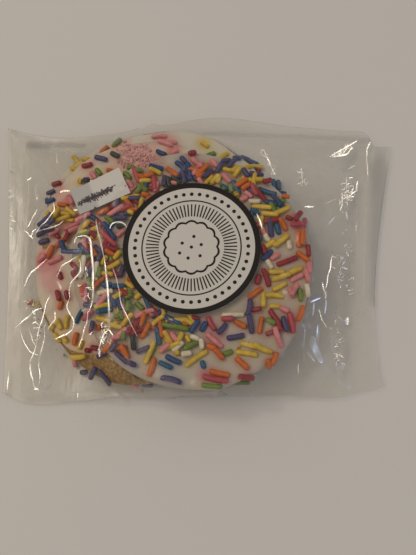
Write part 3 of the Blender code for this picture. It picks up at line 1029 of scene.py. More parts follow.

# %% [markdown]
# ## Stains in the icing
#
# Food colour creeps from a sprinkle into the damp icing round it. Each point of the icing's mesh takes a
# tint from the sprinkles near it, with a weight that falls off over about a millimetre and a half. A few
# wider smears are added where sprinkles were rubbed along the film. The tints are kept on the mesh as a
# colour, and the icing's finish multiplies its white by it. Each cookie's icing also has a tone of its
# own, and the upper one is the darkest.

# %% Stain the icing
STAIN_REACH = 1.7 * MM
STAIN_DEPTH, SMEAR_DEPTH = 0.5, 0.95      # how far each turns the white to its own colour
SMEAR_WEIGHT = 3.0                        # how many stains a smear counts for
STAINS_ALONG = (0.1, 0.37, 0.63, 0.9)     # where along a sprinkle it stains
AT_A_TIME = 1000                          # points of the mesh that are worked out in one go
HARDLY_ANY = 1e-6                         # keeps a division from zero
ICING_TONE = {"bottom": (0.95, 0.97, 0.96), "middle": (0.95, 0.9, 0.85), "top": (0.68, 0.67, 0.66)}
SMEARS = (   # pixel, reach in mm, and colour
    (41, 262, 2.2, "#D2526C"), (46, 257, 2.4, "#D2526C"), (52, 263, 2.2, "#D77C90"),
    (50, 270, 3.0, "#C892A4"), (48, 279, 2.6, "#C9A0AE"), (54, 286, 2.6, "#CBA2AC"),
    (70, 226, 3.0, "#D2707E"), (80, 220, 2.8, "#CF6476"), (62, 213, 2.6, "#D8B24C"),
    (133, 150, 3.4, "#D58C98"), (124, 148, 2.8, "#DE9A84"), (143, 158, 3.4, "#D27C8C"),
    (153, 164, 2.6, "#D07084"), (168, 143, 3.0, "#D8929A"), (174, 148, 2.2, "#D2717C"),
    (298, 222, 2.6, "#C9506A"), (304, 229, 2.0, "#CF6A7E"), (214, 337, 2.8, "#D98BA0"),
    (79, 163, 2.6, "#DCC172"), (204, 143, 2.4, "#E0CC70"), (183, 166, 2.2, "#8E9BB0"),
    (59, 190, 2.2, "#CF8C98"), (67, 203, 2.2, "#D0707E"), (206, 375, 2.4, "#DC7C92"),
    (135, 181, 2.2, "#A6B48A"), (291, 322, 2.4, "#CC6A80"), (150, 175, 2.0, "#9FB08C"),
)

spots = []     # place, tint, reach, depth and weight of each
for name, rods in sprinkles.items():
    for start, end, _, _ in rods:
        for share in STAINS_ALONG:
            place, tint = start + (end - start) * share, colour(SPRINKLE_HEX[name])[:3]
            spots.append((*place, *tint, STAIN_REACH, STAIN_DEPTH, 1.0))
for u, v, reach, hex_code in SMEARS:
    place, tint = seen_at(u, v, carried_by(u, v)[1]), colour(hex_code)[:3]
    spots.append((*place, *tint, reach * MM, SMEAR_DEPTH, SMEAR_WEIGHT))
spots = np.array(spots)
places, tints, reaches, depths, weights = spots[:, :3], spots[:, 3:6], *spots[:, 6:].T

for cookie, icing in icings.items():
    points = points_of(icing.data)
    stains = np.ones((len(points), 4))
    for first in range(0, len(points), AT_A_TIME):
        some = slice(first, first + AT_A_TIME)
        off = np.linalg.norm(points[some, None] - places[None], axis=2)
        weight = weights * np.exp(-((off / reaches) ** 2))
        total = weight.sum(axis=1, keepdims=True)
        tint = (weight @ tints) / np.maximum(total, HARDLY_ANY)
        tint = tint / np.maximum(tint.max(axis=1, keepdims=True), HARDLY_ANY)
        depth = (weight @ depths)[:, None] / np.maximum(total, HARDLY_ANY)
        share = depth * (1 - np.exp(-total))
        stains[some, :3] = (1 - share * (1 - tint)) * ICING_TONE[cookie]
    keep_on_mesh(icing, "stain", stains)
print("icing stained near", len(spots), "spots of colour")

# %% [markdown]
# ## How much room the bag leaves
#
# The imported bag's upper and lower faces are read on a grid, by sending lines straight down and straight
# up at it. The crumbs below need it, to stay inside, and so does the film after them.

# %% Heights of the bag
FILM_CELL = 0.8 * MM
AROUND = 4 * MM

x_steps = np.arange(low.x - AROUND, high.x + AROUND, FILM_CELL)
y_steps = np.arange(low.y - AROUND, high.y + AROUND, FILM_CELL)


def bag_chart(skin, way=DOWN, missing=0.0):
    """Heights at which lines straight down or up meet a skin, on a grid over the whole bag."""
    return heights_on_grid(skin, x_steps, y_steps, way, missing)


def read_at(heights, places):
    """Reads a height map between its grid points."""
    columns = (places[:, 0] - x_steps[0]) / FILM_CELL
    rows = (places[:, 1] - y_steps[0]) / FILM_CELL
    c, r = np.floor(columns).astype(int), np.floor(rows).astype(int)
    c, r = np.clip(c, 0, len(x_steps) - 2), np.clip(r, 0, len(y_steps) - 2)
    fc, fr = columns - c, rows - r
    return (
        heights[c, r] * (1 - fc) * (1 - fr) + heights[c + 1, r] * fc * (1 - fr)
        + heights[c, r + 1] * (1 - fc) * fr + heights[c + 1, r + 1] * fc * fr
    )


bag_top = bag_chart(bag_skin)
bag_under = bag_chart(bag_skin, -DOWN)
print("the bag is up to", round((bag_top - bag_under).max() / MM, 1), "mm thick")

# %% [markdown]
# ## Crumbs
#
# Handling a cookie breaks crumbs off its rim, and they gather at the foot of the stack. A crumb is a
# small sphere of a few faces, pushed out of shape, in the crust's own finish.

# %% Crumbs
CRUMB_COUNT = 16
CRUMB_SIZES = (0.2 * MM, 0.6 * MM)     # radii; most are near the smallest
CRUMB_BAND = (0.5 * MM, 7.0 * MM)      # how far from the stack's foot; most are near it
CRUMB_TURNS = (math.radians(195), math.radians(300))
CRUMB_SIDES = (0.7, 1.2)               # how unequal a crumb's three sizes may be
CRUMB_LUMPS = (0.9, 0.22)              # size and depth of its lumps, as shares of its radius
CRUMB_ROOM = 1.0 * MM                  # the bag is this much thicker than the crumb
CLEAR_OF_TOP = 2.0 * MM                # how far crumbs lie outside the top cookie's rim

crumb_maker = bmesh.new()
bmesh.ops.create_icosphere(crumb_maker, subdivisions=2, radius=1.0)
crumb_ball = np.array([v.co for v in crumb_maker.verts])
crumb_faces = [[v.index for v in face.verts] for face in crumb_maker.faces]
crumb_maker.free()


def between(ends, share):
    """The value that lies this share of the way between two ends."""
    return ends[0] + (ends[1] - ends[0]) * share


crumb_shapes = []
while len(crumb_shapes) < CRUMB_COUNT:
    turn = draw.uniform(*CRUMB_TURNS)
    out = rim_reach("middle", turn) + between(CRUMB_BAND, draw.uniform() ** 2)
    place = middle_of("middle") + out * towards(turn)
    size = between(CRUMB_SIZES, draw.uniform() ** 3)
    room = read_at(bag_top - bag_under, place[None])[0]
    if inside("top", place, -CLEAR_OF_TOP) or room < 2 * size + CRUMB_ROOM:
        continue
    ball = crumb_ball * draw.uniform(*CRUMB_SIDES, 3) * size
    ball *= 1 + CRUMB_LUMPS[1] * uneven(ball / size, CRUMB_LUMPS[0], len(crumb_shapes))[:, None]
    crumb_shapes.append(ball + np.append(place, floor_at(place) + size))
crumbs = many_copies("crumbs", crumb_shapes, crumb_faces, baked_crust)
print("crumbs:", len(crumb_shapes))

# %% [markdown]
# ## The bag's film: its shape
#
# The bag is clear polypropylene film, a few hundredths of a millimetre thick, drawn tight over the stack
# and sealed flat at its ends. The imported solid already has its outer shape, so the film starts as a copy
# of it. Its triangles are joined back into four-sided faces and then subdivided, which rounds the film
# and gives points for the finer shape. The sharp edge round the outline is kept by a crease.
#
# Three things are added. Where sprinkles push up, the film is raised over them, as in vacuum forming: a
# height map is blurred and lifted off the contents in turns until it is both smooth and clear. On the
# slopes it gets the pleats of film that is pulled from a round stack to a straight seal. They are noise
# that is stretched along the lines that run out from the stack. And where it hangs loose it is crumpled:
# the same noise, folded over at zero, gives shallow dents with sharp edges between them.

# %% Heights of the contents
FILM_CLEAR = 0.2 * MM            # how far the film lies above the contents
FILM_PASSES = 10                 # how often it is blurred and lifted
CLING_FROM = 3 * MM              # it clings to what stands higher than this
CLING_PASSES = 6                 # how softly that ends

contents_skin = skin_of(*biscuits.values(), *icings.values(), *sprinkle_pieces, crumbs)


def blurred(heights):
    """Each height mixed with its four neighbours."""
    padded = np.pad(heights, 1, mode="edge")
    near = padded[:-2, 1:-1] + padded[2:, 1:-1] + padded[1:-1, :-2] + padded[1:-1, 2:]
    return (heights * 2 + near) / 6


def widened(heights):
    """The highest of each height and its four neighbours."""
    padded = np.pad(heights, 1, mode="edge")
    return np.maximum.reduce([
        heights, padded[:-2, 1:-1], padded[2:, 1:-1], padded[1:-1, :-2], padded[1:-1, 2:],
    ])


contents_top = bag_chart(contents_skin, missing=-1.0)
heap = widened(widened(contents_top)) + FILM_CLEAR
cling = (contents_top > CLING_FROM).astype(float)
for _ in range(CLING_PASSES):
    cling = blurred(cling)
film_top = np.maximum(bag_top, heap)
for _ in range(FILM_PASSES):
    rise = blurred(film_top - bag_top)
    film_top = np.maximum(bag_top + np.maximum(rise, 0), heap)
film_rise = blurred(film_top - bag_top)
print("film raised by up to", round(film_rise.max() / MM, 2), "mm over the contents")

# %% The film's mesh
SUBDIVISIONS = 2
SHARP_EDGE = math.radians(50)
WELD = 0.001 * MM
FILM_GAP = 0.1 * MM                       # the film's upper side stays this far above its underside
PLEAT_DEPTH = 0.55 * MM
PLEAT_SIZE = (3.0 * MM, 26.0 * MM)        # across and along a pleat
PLEAT_RADIUS = 50.0 * MM                  # how far out a pleat has that width
PLEAT_FADE = 5.0 * MM                     # the bag's thickness over which pleats set in
PLEATS_BELOW, PLEAT_TOP_FADE = 1.4 * MM, 4.0 * MM      # where they end under the bag's top, how slowly
CRUMPLES = ((9.0 * MM, 0.3 * MM), (4.0 * MM, 0.08 * MM))    # size and depth
CRUMPLE_STRETCH = 0.35                    # below 1, they are drawn out from front to back
CRUMPLE_FADE = 3.0 * MM                   # the bag's thickness over which they set in
SEAL_CRUMPLES = 0.12                      # the share of them that the flat seals have
STACK_MIDDLE = np.array((-9.0, -2.0)) * MM


def smooth_bag():
    """The bag's shape in fine four-sided faces, as points and faces."""
    maker = bmesh.new()
    maker.from_mesh(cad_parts["bag"].data)
    bmesh.ops.remove_doubles(maker, verts=maker.verts, dist=WELD)
    bmesh.ops.join_triangles(
        maker, faces=maker.faces, angle_face_threshold=SHARP_EDGE, angle_shape_threshold=SHARP_EDGE,
    )
    sharp = maker.edges.layers.float.new("crease_edge")
    for edge in maker.edges:
        if edge.calc_face_angle(0) > SHARP_EDGE:
            edge[sharp] = 1.0
    mesh = bpy.data.meshes.new("bag shape")
    maker.to_mesh(mesh)
    maker.free()
    holder = bpy.data.objects.new("bag shape", mesh)
    scene.collection.objects.link(holder)
    finer = holder.modifiers.new("finer", "SUBSURF")
    finer.levels = finer.render_levels = SUBDIVISIONS
    bpy.context.view_layer.update()
    fine = bpy.data.meshes.new_from_object(holder.evaluated_get(bpy.context.evaluated_depsgraph_get()))
    points, faces = points_of(fine), [list(face.vertices) for face in fine.polygons]
    bpy.data.objects.remove(holder)
    bpy.data.meshes.remove(fine)
    bpy.data.meshes.remove(mesh)
    return points, faces


def pleats(places):
    """Folds that run out from the stack, from about -1 to 1."""
    off = places - STACK_MIDDLE
    away = np.linalg.norm(off, axis=1)
    around = np.arctan2(off[:, 1], off[:, 0])
    pleats_round = PLEAT_RADIUS / PLEAT_SIZE[0]
    round_and_out = np.stack([
        np.cos(around) * pleats_round, np.sin(around) * pleats_round, away / PLEAT_SIZE[1],
    ], axis=-1)
    return uneven(round_and_out, 1.0, SEEDS["pleats"])


def crumples(places):
    """Shallow dents with sharp edges between them, as handled film has. They only rise."""
    drawn_out = places * (1, CRUMPLE_STRETCH)
    return sum(
        depth * np.maximum(1 - np.abs(uneven(drawn_out, size, SEEDS["crumples"] + at)), 0)
        for at, (size, depth) in enumerate(CRUMPLES)
    )


film_points, film_faces = smooth_bag()
plan = film_points[:, :2]
top_here, under_here = read_at(bag_top, plan), read_at(bag_under, plan)
is_upper = film_points[:, 2] > (top_here + under_here) / 2
thick = np.maximum(top_here - under_here, 0)
on_slope = eased(thick / PLEAT_FADE) * eased((high.z - PLEATS_BELOW - top_here) / PLEAT_TOP_FADE)
loose = (1 - read_at(cling, plan)) * between((SEAL_CRUMPLES, 1), eased(thick / CRUMPLE_FADE))
rise = read_at(film_rise, plan) + PLEAT_DEPTH * on_slope * pleats(plan) + loose * crumples(plan)
film_points[:, 2] += np.where(is_upper, rise, 0)
least = np.maximum(under_here + FILM_GAP, read_at(heap, plan))
film_points[:, 2] = np.maximum(film_points[:, 2], np.where(is_upper, least, 0))
print("film faces:", len(film_faces))

# %% [markdown]
# ## Creases pressed into the film
#
# Where stiff film is bent twice it keeps a sharp crease, and each one catches the light as a bright line.
# These are too fine for the film's own mesh, so each is a narrow ridge of its own that follows the film.
# Its path is given by the pixels it passes in the picture, put on the film by the camera's line of sight,
# and smoothed.
#
# A thin bright line is a mirror image of a lamp, so it only shows where the crease has a face at just
# the right turn. A half-round ridge has one such strip, too thin to see at this size. So a sharp crease
# is a row of small flat treads. Each is turned to mirror the lamp, less a little that makes it dimmer,
# and stands on the film with a foot on either side. A few on the right mirror the cool light instead, and
# at the crushed places short ones are drawn at random. The faint folds are half-round ridges in the
# film's own finish, and all of them fade into the film at both ends.

# %% Creases
CREASES = (   # width in mm, how squarely it mirrors the lamp from 0 to 1, and the pixels along it
    (1.0, 1.0, ((74, 243), (76, 238), (81, 236), (86, 236), (90, 239), (91, 246), (92, 256), (93, 268),
                (93, 283), (93, 297), (91, 306), (88, 313))),
    (0.6, 0.9, ((88, 312), (86, 325), (83, 335), (79, 347))),
    (0.7, 0.6, ((96, 220), (98, 232), (101, 243), (104, 258))),
    (0.9, 1.0, ((104, 256), (106, 272), (108, 292), (109, 316), (109, 330))),
    (0.8, 1.0, ((109, 329), (104, 334), (101, 342), (100, 355))),
    (0.8, 0.9, ((107, 329), (110, 331), (113, 336))),
    (1.0, 1.0, ((100, 350), (100, 356))),
    (0.5, 0.5, ((111, 264), (116, 277), (119, 290), (121, 303), (127, 316), (137, 336))),
    (0.8, 0.9, ((80, 260), (80, 272), (76, 277), (71, 283), (69, 290), (70, 298))),
    (0.6, 0.7, ((70, 297), (67, 306), (70, 314), (74, 322), (73, 328))),
    (1.0, 1.0, ((72, 330), (67, 334), (62, 336), (56, 339))),
    (0.7, 0.8, ((78, 256), (70, 261), (62, 266), (57, 276))),
    (0.8, 0.9, ((47, 259), (37, 268), (31, 274), (28, 279), (24, 287))),
    (0.8, 0.9, ((110, 228), (112, 224), (118, 222), (123, 223), (127, 227))),
    (0.7, 0.8, ((54, 204), (54, 211), (50, 216), (44, 223), (37, 232))),
    (0.6, 0.6, ((63, 221), (58, 225), (50, 228), (37, 231))),
    (1.0, 1.0, ((25, 231), (29, 234), (33, 238))),
    (0.8, 0.9, ((32, 236), (36, 229))),
    (0.9, 1.0, ((42, 308), (32, 314), (24, 320), (16, 327))),
    (0.9, 1.0, ((55, 312), (55, 320), (52, 323), (48, 329))),
    (0.6, 0.6, ((50, 290), (46, 305), (43, 318), (39, 330), (37, 340), (35, 350), (29, 364))),
    (0.6, 0.6, ((46, 323), (45, 335), (43, 345), (40, 355), (39, 362), (40, 375), (39, 388))),
    (0.9, 1.0, ((30, 364), (31, 372), (33, 380))),
    (0.6, 0.7, ((33, 380), (34, 386), (38, 390))),
    (1.1, 1.0, ((35, 389), (38, 389))),
    (0.6, 0.6, ((20, 329), (24, 342), (30, 351), (38, 355))),
    (0.5, 0.5, ((29, 328), (32, 338), (37, 347))),
    (0.9, 0.9, ((9, 371), (8, 381), (7, 391))),
    (0.9, 0.6, ((7, 164), (7, 173))),
    (1.3, 1.0, ((8, 177), (8, 186))),
    (0.7, 0.8, ((8, 185), (9, 194))),
    (0.8, 0.7, ((28, 180), (31, 178))),
    (1.3, 0.6, ((37, 184), (36, 192), (37, 200))),
    (0.8, 0.7, ((37, 210), (33, 218), (28, 227))),
    (0.9, 0.3, ((57, 152), (57, 163))),
    (1.7, 1.0, ((61, 192), (69, 191))),
    (0.8, 0.9, ((91, 181), (91, 187))),
    (0.8, 0.9, ((74, 210), (77, 210))),
    (1.2, 0.4, ((57, 282), (61, 289))),
    (1.2, 0.4, ((263, 151), (267, 158), (271, 167), (275, 175))),
    (1.1, 0.3, ((301, 171), (302, 183))),
    (1.3, 0.9, ((305, 207), (313, 207))),
    (0.9, 0.7, ((257, 214), (260, 221), (262, 228))),
    (0.8, 1.0, ((332, 256), (330, 268), (327, 280), (325, 290))),
    (0.8, 0.8, ((322, 283), (324, 291))),
    (1.4, 1.0, ((325, 290), (325, 298))),
    (0.7, 0.8, ((319, 310), (321, 318), (326, 327))),
    (1.1, 1.0, ((330, 157), (342, 150), (357, 141))),
    (1.3, 1.0, ((333, 157), (341, 156), (347, 154), (350, 150), (352, 148))),
    (0.9, 0.5, ((348, 169), (354, 166))),
    (1.0, 1.0, ((374, 137), (370, 143), (367, 149))),
    (0.7, 0.7, ((367, 149), (367, 160), (368, 168), (368, 178))),
    (0.5, 0.4, ((374, 143), (374, 160))),
    (1.2, 0.5, ((346, 177), (346, 190))),
    (1.3, 1.0, ((357, 182), (356, 190))),
    (1.4, 1.0, ((344, 193), (348, 196), (353, 197))),
    (0.9, 0.8, ((346, 199), (353, 193), (358, 190))),
    (1.1, 1.0, ((342, 194), (342, 203), (340, 210))),
    (1.0, 0.8, ((346, 212), (347, 218))),
    (0.7, 0.4, ((335, 217), (327, 226))),
    (0.6, 0.3, ((336, 199), (325, 204))),
    (0.6, 0.2, ((356, 200), (357, 215), (356, 232))),
    (2.0, 1.0, ((347, 318), (347, 324))),
    (0.6, 0.4, ((337, 316), (342, 320))),
    (0.9, 1.0, ((336, 354), (337, 358))),
    (0.8, 0.4, ((298, 364), (298, 374))),
    (0.8, 1.0, ((78, 393), (78, 397))),
)
FOLDS = (   # width and height of the ridge in mm, and the pixels along it
    (1.0, 0.16, ((21, 150), (22, 180), (21, 215), (20, 245), (21, 275), (20, 300))),
    (0.9, 0.14, ((15, 160), (15, 200), (18, 240), (17, 290))),
    (0.9, 0.14, ((29, 160), (28, 190), (26, 230), (27, 262))),
    (1.2, 0.2, ((25, 141), (45, 143), (65, 143), (85, 142))),
    (1.2, 0.2, ((28, 150), (50, 152), (70, 152), (84, 150))),
    (0.9, 0.14, ((28, 146), (40, 156), (55, 170), (62, 180))),
    (0.9, 0.14, ((22, 146), (32, 160), (44, 174), (50, 186))),
    (1.4, 0.26, ((200, 130), (235, 133), (265, 137), (300, 141), (340, 145), (372, 146))),
    (1.0, 0.18, ((296, 150), (318, 160), (340, 170), (354, 178), (362, 184))),
    (1.1, 0.18, ((356, 176), (354, 200), (352, 230), (352, 262), (350, 290), (350, 308))),
    (1.0, 0.18, ((350, 308), (358, 312), (368, 309))),
    (0.9, 0.14, ((366, 176), (366, 220), (365, 260), (364, 300))),
    (0.9, 0.16, ((328, 222), (338, 212), (344, 204))),
    (0.9, 0.16, ((341, 302), (336, 325), (338, 350), (336, 372), (340, 388))),
    (0.9, 0.14, ((330, 240), (333, 262), (340, 285), (346, 300))),
    (1.0, 0.16, ((300, 340), (306, 362), (316, 380), (330, 392))),
    (0.9, 0.14, ((28, 392), (60, 394), (90, 392), (104, 393))),
)
COOL_CREASES = (   # the same, for the cool light on the right
    (1.6, 0.6, ((318, 325), (318, 337), (317, 350))),
    (3.8, 0.45, ((312, 337), (316, 349), (322, 362))),
    (1.0, 0.5, ((311, 302), (320, 298))),
    (0.9, 0.5, ((314, 304), (313, 315))),
    (0.9, 0.5, ((326, 299), (325, 313))),
    (0.8, 0.4, ((305, 330), (304, 345))),
    (0.9, 0.4, ((307, 352), (314, 361))),
    (0.8, 0.5, ((43, 391), (47, 389), (52, 383))),
)
CRINKLED = (   # where film is crushed: two ends and half width in pixels, number of creases, squareness
    ((348, 180), (345, 206), 6, 34, 1.0),
    ((335, 156), (353, 145), 2, 20, 1.0),
    ((263, 151), (275, 175), 2, 16, 0.5),
    ((301, 172), (302, 184), 3, 12, 0.45),
    ((340, 262), (347, 300), 8, 28, 0.2),
    ((334, 322), (340, 372), 8, 28, 0.2),
    ((346, 225), (348, 258), 6, 10, 0.2),
    ((30, 300), (44, 345), 7, 20, 0.5),
    ((88, 240), (84, 340), 6, 12, 0.7),
    ((104, 322), (108, 345), 5, 14, 0.9),
    ((8, 168), (12, 240), 4, 12, 0.5),
)
CRINKLE_WIDTHS = (0.3, 0.8)      # in mm
CRINKLE_LENGTHS = (2, 6)         # in pixels
CRINKLE_BEND = 0.8               # how far their middles are off a straight line, in pixels
CRINKLE_SQUARE = (0.4, 1.0)      # the shares of its place's squareness that one may have
CREASE_STEP = 0.5 * MM
TREAD_ENDS = (-0.45, 0.45)       # where a tread starts and ends, in steps
TAPER_POWER = 0.4                # below 1, creases and folds keep their width almost to their ends
CREASE_SUNK = 0.06 * MM
BRIGHT_SHARE = 0.46              # how much of a crease's width is its bright face
CREASE_MISS = math.radians(14)   # how far off square a crease is that mirrors nothing
CREASE_WOBBLE = math.radians(5)
WOBBLE_SIZE = 5 * MM
FOLD_PROFILE = np.linspace(-1, 1, 7)


def smooth_path(points, step, fewest=4):
    """Points at even steps along a smooth curve through the given ones."""
    lengths = np.linalg.norm(np.diff(points, axis=0), axis=1)
    along = np.concatenate([[0], np.cumsum(lengths)])
    spots = np.linspace(0, along[-1], max(fewest, int(along[-1] / step)))
    slopes = np.gradient(points, along, axis=0)
    at = np.clip(np.searchsorted(along, spots, side="right") - 1, 0, len(along) - 2)
    width = along[at + 1] - along[at]
    t = ((spots - along[at]) / width)[:, None]
    lean_out, lean_in = slopes[at] * width[:, None], slopes[at + 1] * width[:, None]
    return (
        (2 * t**3 - 3 * t**2 + 1) * points[at] + (t**3 - 2 * t**2 + t) * lean_out
        + (3 * t**2 - 2 * t**3) * points[at + 1] + (t**3 - t**2) * lean_in
    )


def steps_on_film(pixels):
    """Steps along a smooth line on the film: the place, the film's normal, the way ahead, the taper."""
    met = [film_skin.ray_cast(CAMERA_PLACE, line_of_sight(u, v))[0] for u, v in pixels]
    met = [spot for spot in met if spot is not None]
    if len(met) < 2:     # a random one that fell beside the bag
        return []
    path = smooth_path(np.array(met), CREASE_STEP)
    steps = []
    for index, spot in enumerate(path):
        place, normal, _, _ = film_skin.find_nearest(Vector(spot))
        normal = normal if normal.z > 0 else -normal
        ahead = Vector(path[min(index + 1, len(path) - 1)] - path[max(index - 1, 0)]).normalized()
        taper = math.sin(math.pi * (index + 0.5) / len(path)) ** TAPER_POWER
        steps.append((place, normal, ahead, taper))
    return steps


def fold_row(place, normal, ahead, taper, wide, tall):
    """Points across a faint fold, which is half round."""
    side = normal.cross(ahead).normalized()
    return [
        place + side * (k * wide / 2 * MM * taper) + normal * (tall * MM * taper * (1 - k * k) - CREASE_SUNK)
        for k in FOLD_PROFILE
    ]


def crease_rows(place, normal, ahead, taper, wide, miss, lamp_place):
    """One tread of a sharp crease, as two rows of points. It mirrors the lamp, and has a foot on either
    side."""
    face = ((lamp_place - place).normalized() + (CAMERA_PLACE - place).normalized()).normalized()
    face.rotate(Quaternion(ahead, miss))
    along = (ahead - face * ahead.dot(face)).normalized()
    across = along.cross(face)
    flat = (across - normal * across.dot(normal)).normalized()
    half = wide / 2 * MM * taper * BRIGHT_SHARE
    lift = half * abs(across.dot(normal)) + CREASE_STEP / 2 * abs(along.dot(normal))
    foot = flat * (wide / 2 * MM * taper)
    rows = []
    for end in TREAD_ENDS:
        middle = place + normal * lift + along * (CREASE_STEP * end)
        on_film = place + ahead * (CREASE_STEP * end) - normal * CREASE_SUNK
        rows.append([on_film - foot, middle - across * half, middle + across * half, on_film + foot])
    return rows


def add_ridge(rows):
    """Joins rows of points to faces, and adds them to the ridges."""
    if not rows:
        return
    first, columns = len(film_points) + len(crease_points), len(rows[0])
    crease_points.extend(point for row in rows for point in row)
    crease_faces.extend(
        (first + r * columns + c, first + r * columns + c + 1,
         first + (r + 1) * columns + c + 1, first + (r + 1) * columns + c)
        for r in range(len(rows) - 1) for c in range(columns - 1)
    )


def crinkles():
    """Short creases at random over the crushed places, as width, squareness and pixels."""
    crush_draw = np.random.default_rng(SEEDS["crinkles"])
    made = []
    for start, end, half_width, number, square in CRINKLED:
        for _ in range(number):
            middle = np.array(start) + (np.array(end) - start) * crush_draw.uniform()
            middle += crush_draw.normal(0, half_width / 2, 2)
            turn = crush_draw.uniform(0, math.pi)
            reach = towards(turn) * crush_draw.uniform(*CRINKLE_LENGTHS) / 2
            bend = crush_draw.normal(0, CRINKLE_BEND, 2)
            made.append((
                crush_draw.uniform(*CRINKLE_WIDTHS), square * crush_draw.uniform(*CRINKLE_SQUARE),
                (middle - reach, middle + bend, middle + reach),
            ))
    return made


film_skin = BVHTree.FromPolygons(film_points.tolist(), film_faces)
crease_points, crease_faces = [], []
for wide, tall, pixels in FOLDS:
    add_ridge([fold_row(*step, wide, tall) for step in steps_on_film(pixels)])
fold_faces = len(crease_faces)
for lamp_name, creases in (("lamp", [*CREASES, *crinkles()]), ("cool", COOL_CREASES)):
    lamp_place = Vector(LIGHTS[lamp_name][0])
    for seed, (wide, square, pixels) in enumerate(creases, SEEDS["creases"]):
        rows = []
        for step in steps_on_film(pixels):
            wobble = CREASE_WOBBLE * uneven(np.array(step[0])[None], WOBBLE_SIZE, seed)[0]
            rows += crease_rows(*step, wide, CREASE_MISS * (1 - square) + wobble, lamp_place)
        add_ridge(rows)
print("ridges:", len(CREASES), "creases and", len(FOLDS), "folds,", len(crease_faces), "faces")

# %% [markdown]
# ## The bag's film: its finish
#
# The film is biaxially oriented polypropylene. It is clear, but each layer sends back a little white haze
# from its rubbed surface, and more where it is creased, because stretching whitens it. Light straight on
# passes, and at a glancing angle the film mirrors the room.
#
# A solid glass shader would bend the view, as though the bag were a block. Thin film doesn't, so this is
# a mix: mostly transparent, a share of haze, and over it a gloss whose share grows towards grazing
# angles. That share is worked out from the facing angle, because it then works from both sides. Haze
# scatters light both ways, so it is part white reflection and part white glow from behind.
#
# How hazy the film is, and how dark where it lies doubled at the seals, is kept on the mesh. It is
# haziest on the creases and in a few rubbed patches, and clearest where it clings to the cookies, as
# their grease wets it. The creases have a finish of their own, with a far stronger gloss: a tread stands
# for a crease much thinner than itself, which would mirror the lamp in full.

# %% Clear film
GRAZING_POWER = 5.0              # how suddenly the film starts to mirror as the view flattens
HAZE = {"free": 0.08, "clinging": 0.012, "creased": 0.14}
HAZE_COLOUR = "#F1EDE4"
HAZE_FROM_BEHIND = 0.4           # the share of the haze that glows from behind
PATCH_CORE = 1.5                 # above 1, a patch is at its full strength over a wider middle
PATCHES = (   # two ends in pixels, half width in mm, added haze, and how much darker
    ((30, 145), (82, 146), 2.6, 0.0, 0.55),
    ((204, 134), (368, 141), 2.0, 0.03, 0.25),
    ((28, 399), (104, 400), 1.8, 0.02, 0.1),
    ((379, 165), (377, 300), 4.6, -0.02, 0.38),
    ((340, 262), (347, 300), 3.4, 0.05, 0.0),
    ((333, 322), (337, 372), 3.6, 0.05, 0.0),
    ((356, 325), (352, 385), 4.5, -0.04, 0.0),
    ((342, 222), (347, 262), 4.5, -0.03, 0.0),
    ((348, 182), (346, 204), 3.0, 0.3, 0.0),
    ((334, 156), (354, 143), 1.6, 0.2, 0.0),
    ((263, 151), (275, 175), 1.6, 0.3, 0.0),
    ((301, 172), (302, 184), 1.6, 0.3, 0.0),
    ((244, 156), (318, 186), 7.0, 0.06, 0.0),
)


def clear_film(name, head_on_shine, roughness):
    """Thin clear film. The shine seen head on is a share from 0 to 1, and so is the mesh's haze."""
    finish, place = new_finish(name)
    facing = add(finish, "LayerWeight", {"Blend": 0.5}).outputs["Facing"]
    steep = add(finish, "Math", {0: facing, 1: GRAZING_POWER}, operation="POWER").outputs[0]
    shine = add(finish, "Math", {
        0: steep, 1: 1 - head_on_shine, 2: head_on_shine,
    }, operation="MULTIPLY_ADD").outputs[0]
    doubled = add(finish, "Attribute", attribute_name="doubled").outputs["Fac"]
    tone = add(finish, "Mix", {
        "Factor": doubled, COLOUR_A: colour("#FDFDFC"), COLOUR_B: colour("#BDC0C4"),
    }, data_type="RGBA").outputs[COLOUR_OUT]
    see_through = add(finish, "BsdfTransparent", {"Color": tone})
    sent_back = add(finish, "BsdfDiffuse", {"Color": colour(HAZE_COLOUR)})
    let_through = add(finish, "BsdfTranslucent", {"Color": colour(HAZE_COLOUR)})
    milk = add(finish, "MixShader", {
        0: HAZE_FROM_BEHIND, 1: sent_back.outputs[0], 2: let_through.outputs[0],
    })
    scuffs = add(finish, "TexNoise", {
        "Vector": place, "Scale": per_mm(9.0), "Detail": 5.0, "Roughness": 0.65,
    }).outputs["Fac"]
    patchy = add(finish, "MapRange", {
        "Value": scuffs, "From Min": 0.3, "From Max": 0.75, "To Min": 0.5, "To Max": 1.8,
    }).outputs["Result"]
    haze = add(finish, "Attribute", attribute_name="haze").outputs["Fac"]
    share = add(finish, "Math", {0: patchy, 1: haze}, operation="MULTIPLY", use_clamp=True)
    body = add(finish, "MixShader", {0: share.outputs[0], 1: see_through.outputs[0], 2: milk.outputs[0]})
    drawn_out = add(finish, "VectorMath", {
        0: place, 1: (1.0, CRUMPLE_STRETCH, 1.0),
    }, operation="MULTIPLY").outputs["Vector"]
    wrinkles = add(finish, "TexNoise", {
        "Vector": drawn_out, "Scale": per_mm(4.0), "Detail": 3.0, "Roughness": 0.55,
    }).outputs["Fac"]
    bump = add(finish, "Bump", {"Height": wrinkles, "Strength": 0.5, "Distance": 0.5 * MM})
    gloss = add(finish, "BsdfGlossy", {"Roughness": roughness, "Normal": bump.outputs["Normal"]})
    coated = add(finish, "MixShader", {0: shine, 1: body.outputs[0], 2: gloss.outputs[0]})
    add(finish, "OutputMaterial", {"Surface": coated.outputs[0]})
    return finish


clear = clear_film("clear polypropylene film", head_on_shine=0.028, roughness=0.22)
creased = clear_film("creased polypropylene film", head_on_shine=0.43, roughness=0.28)

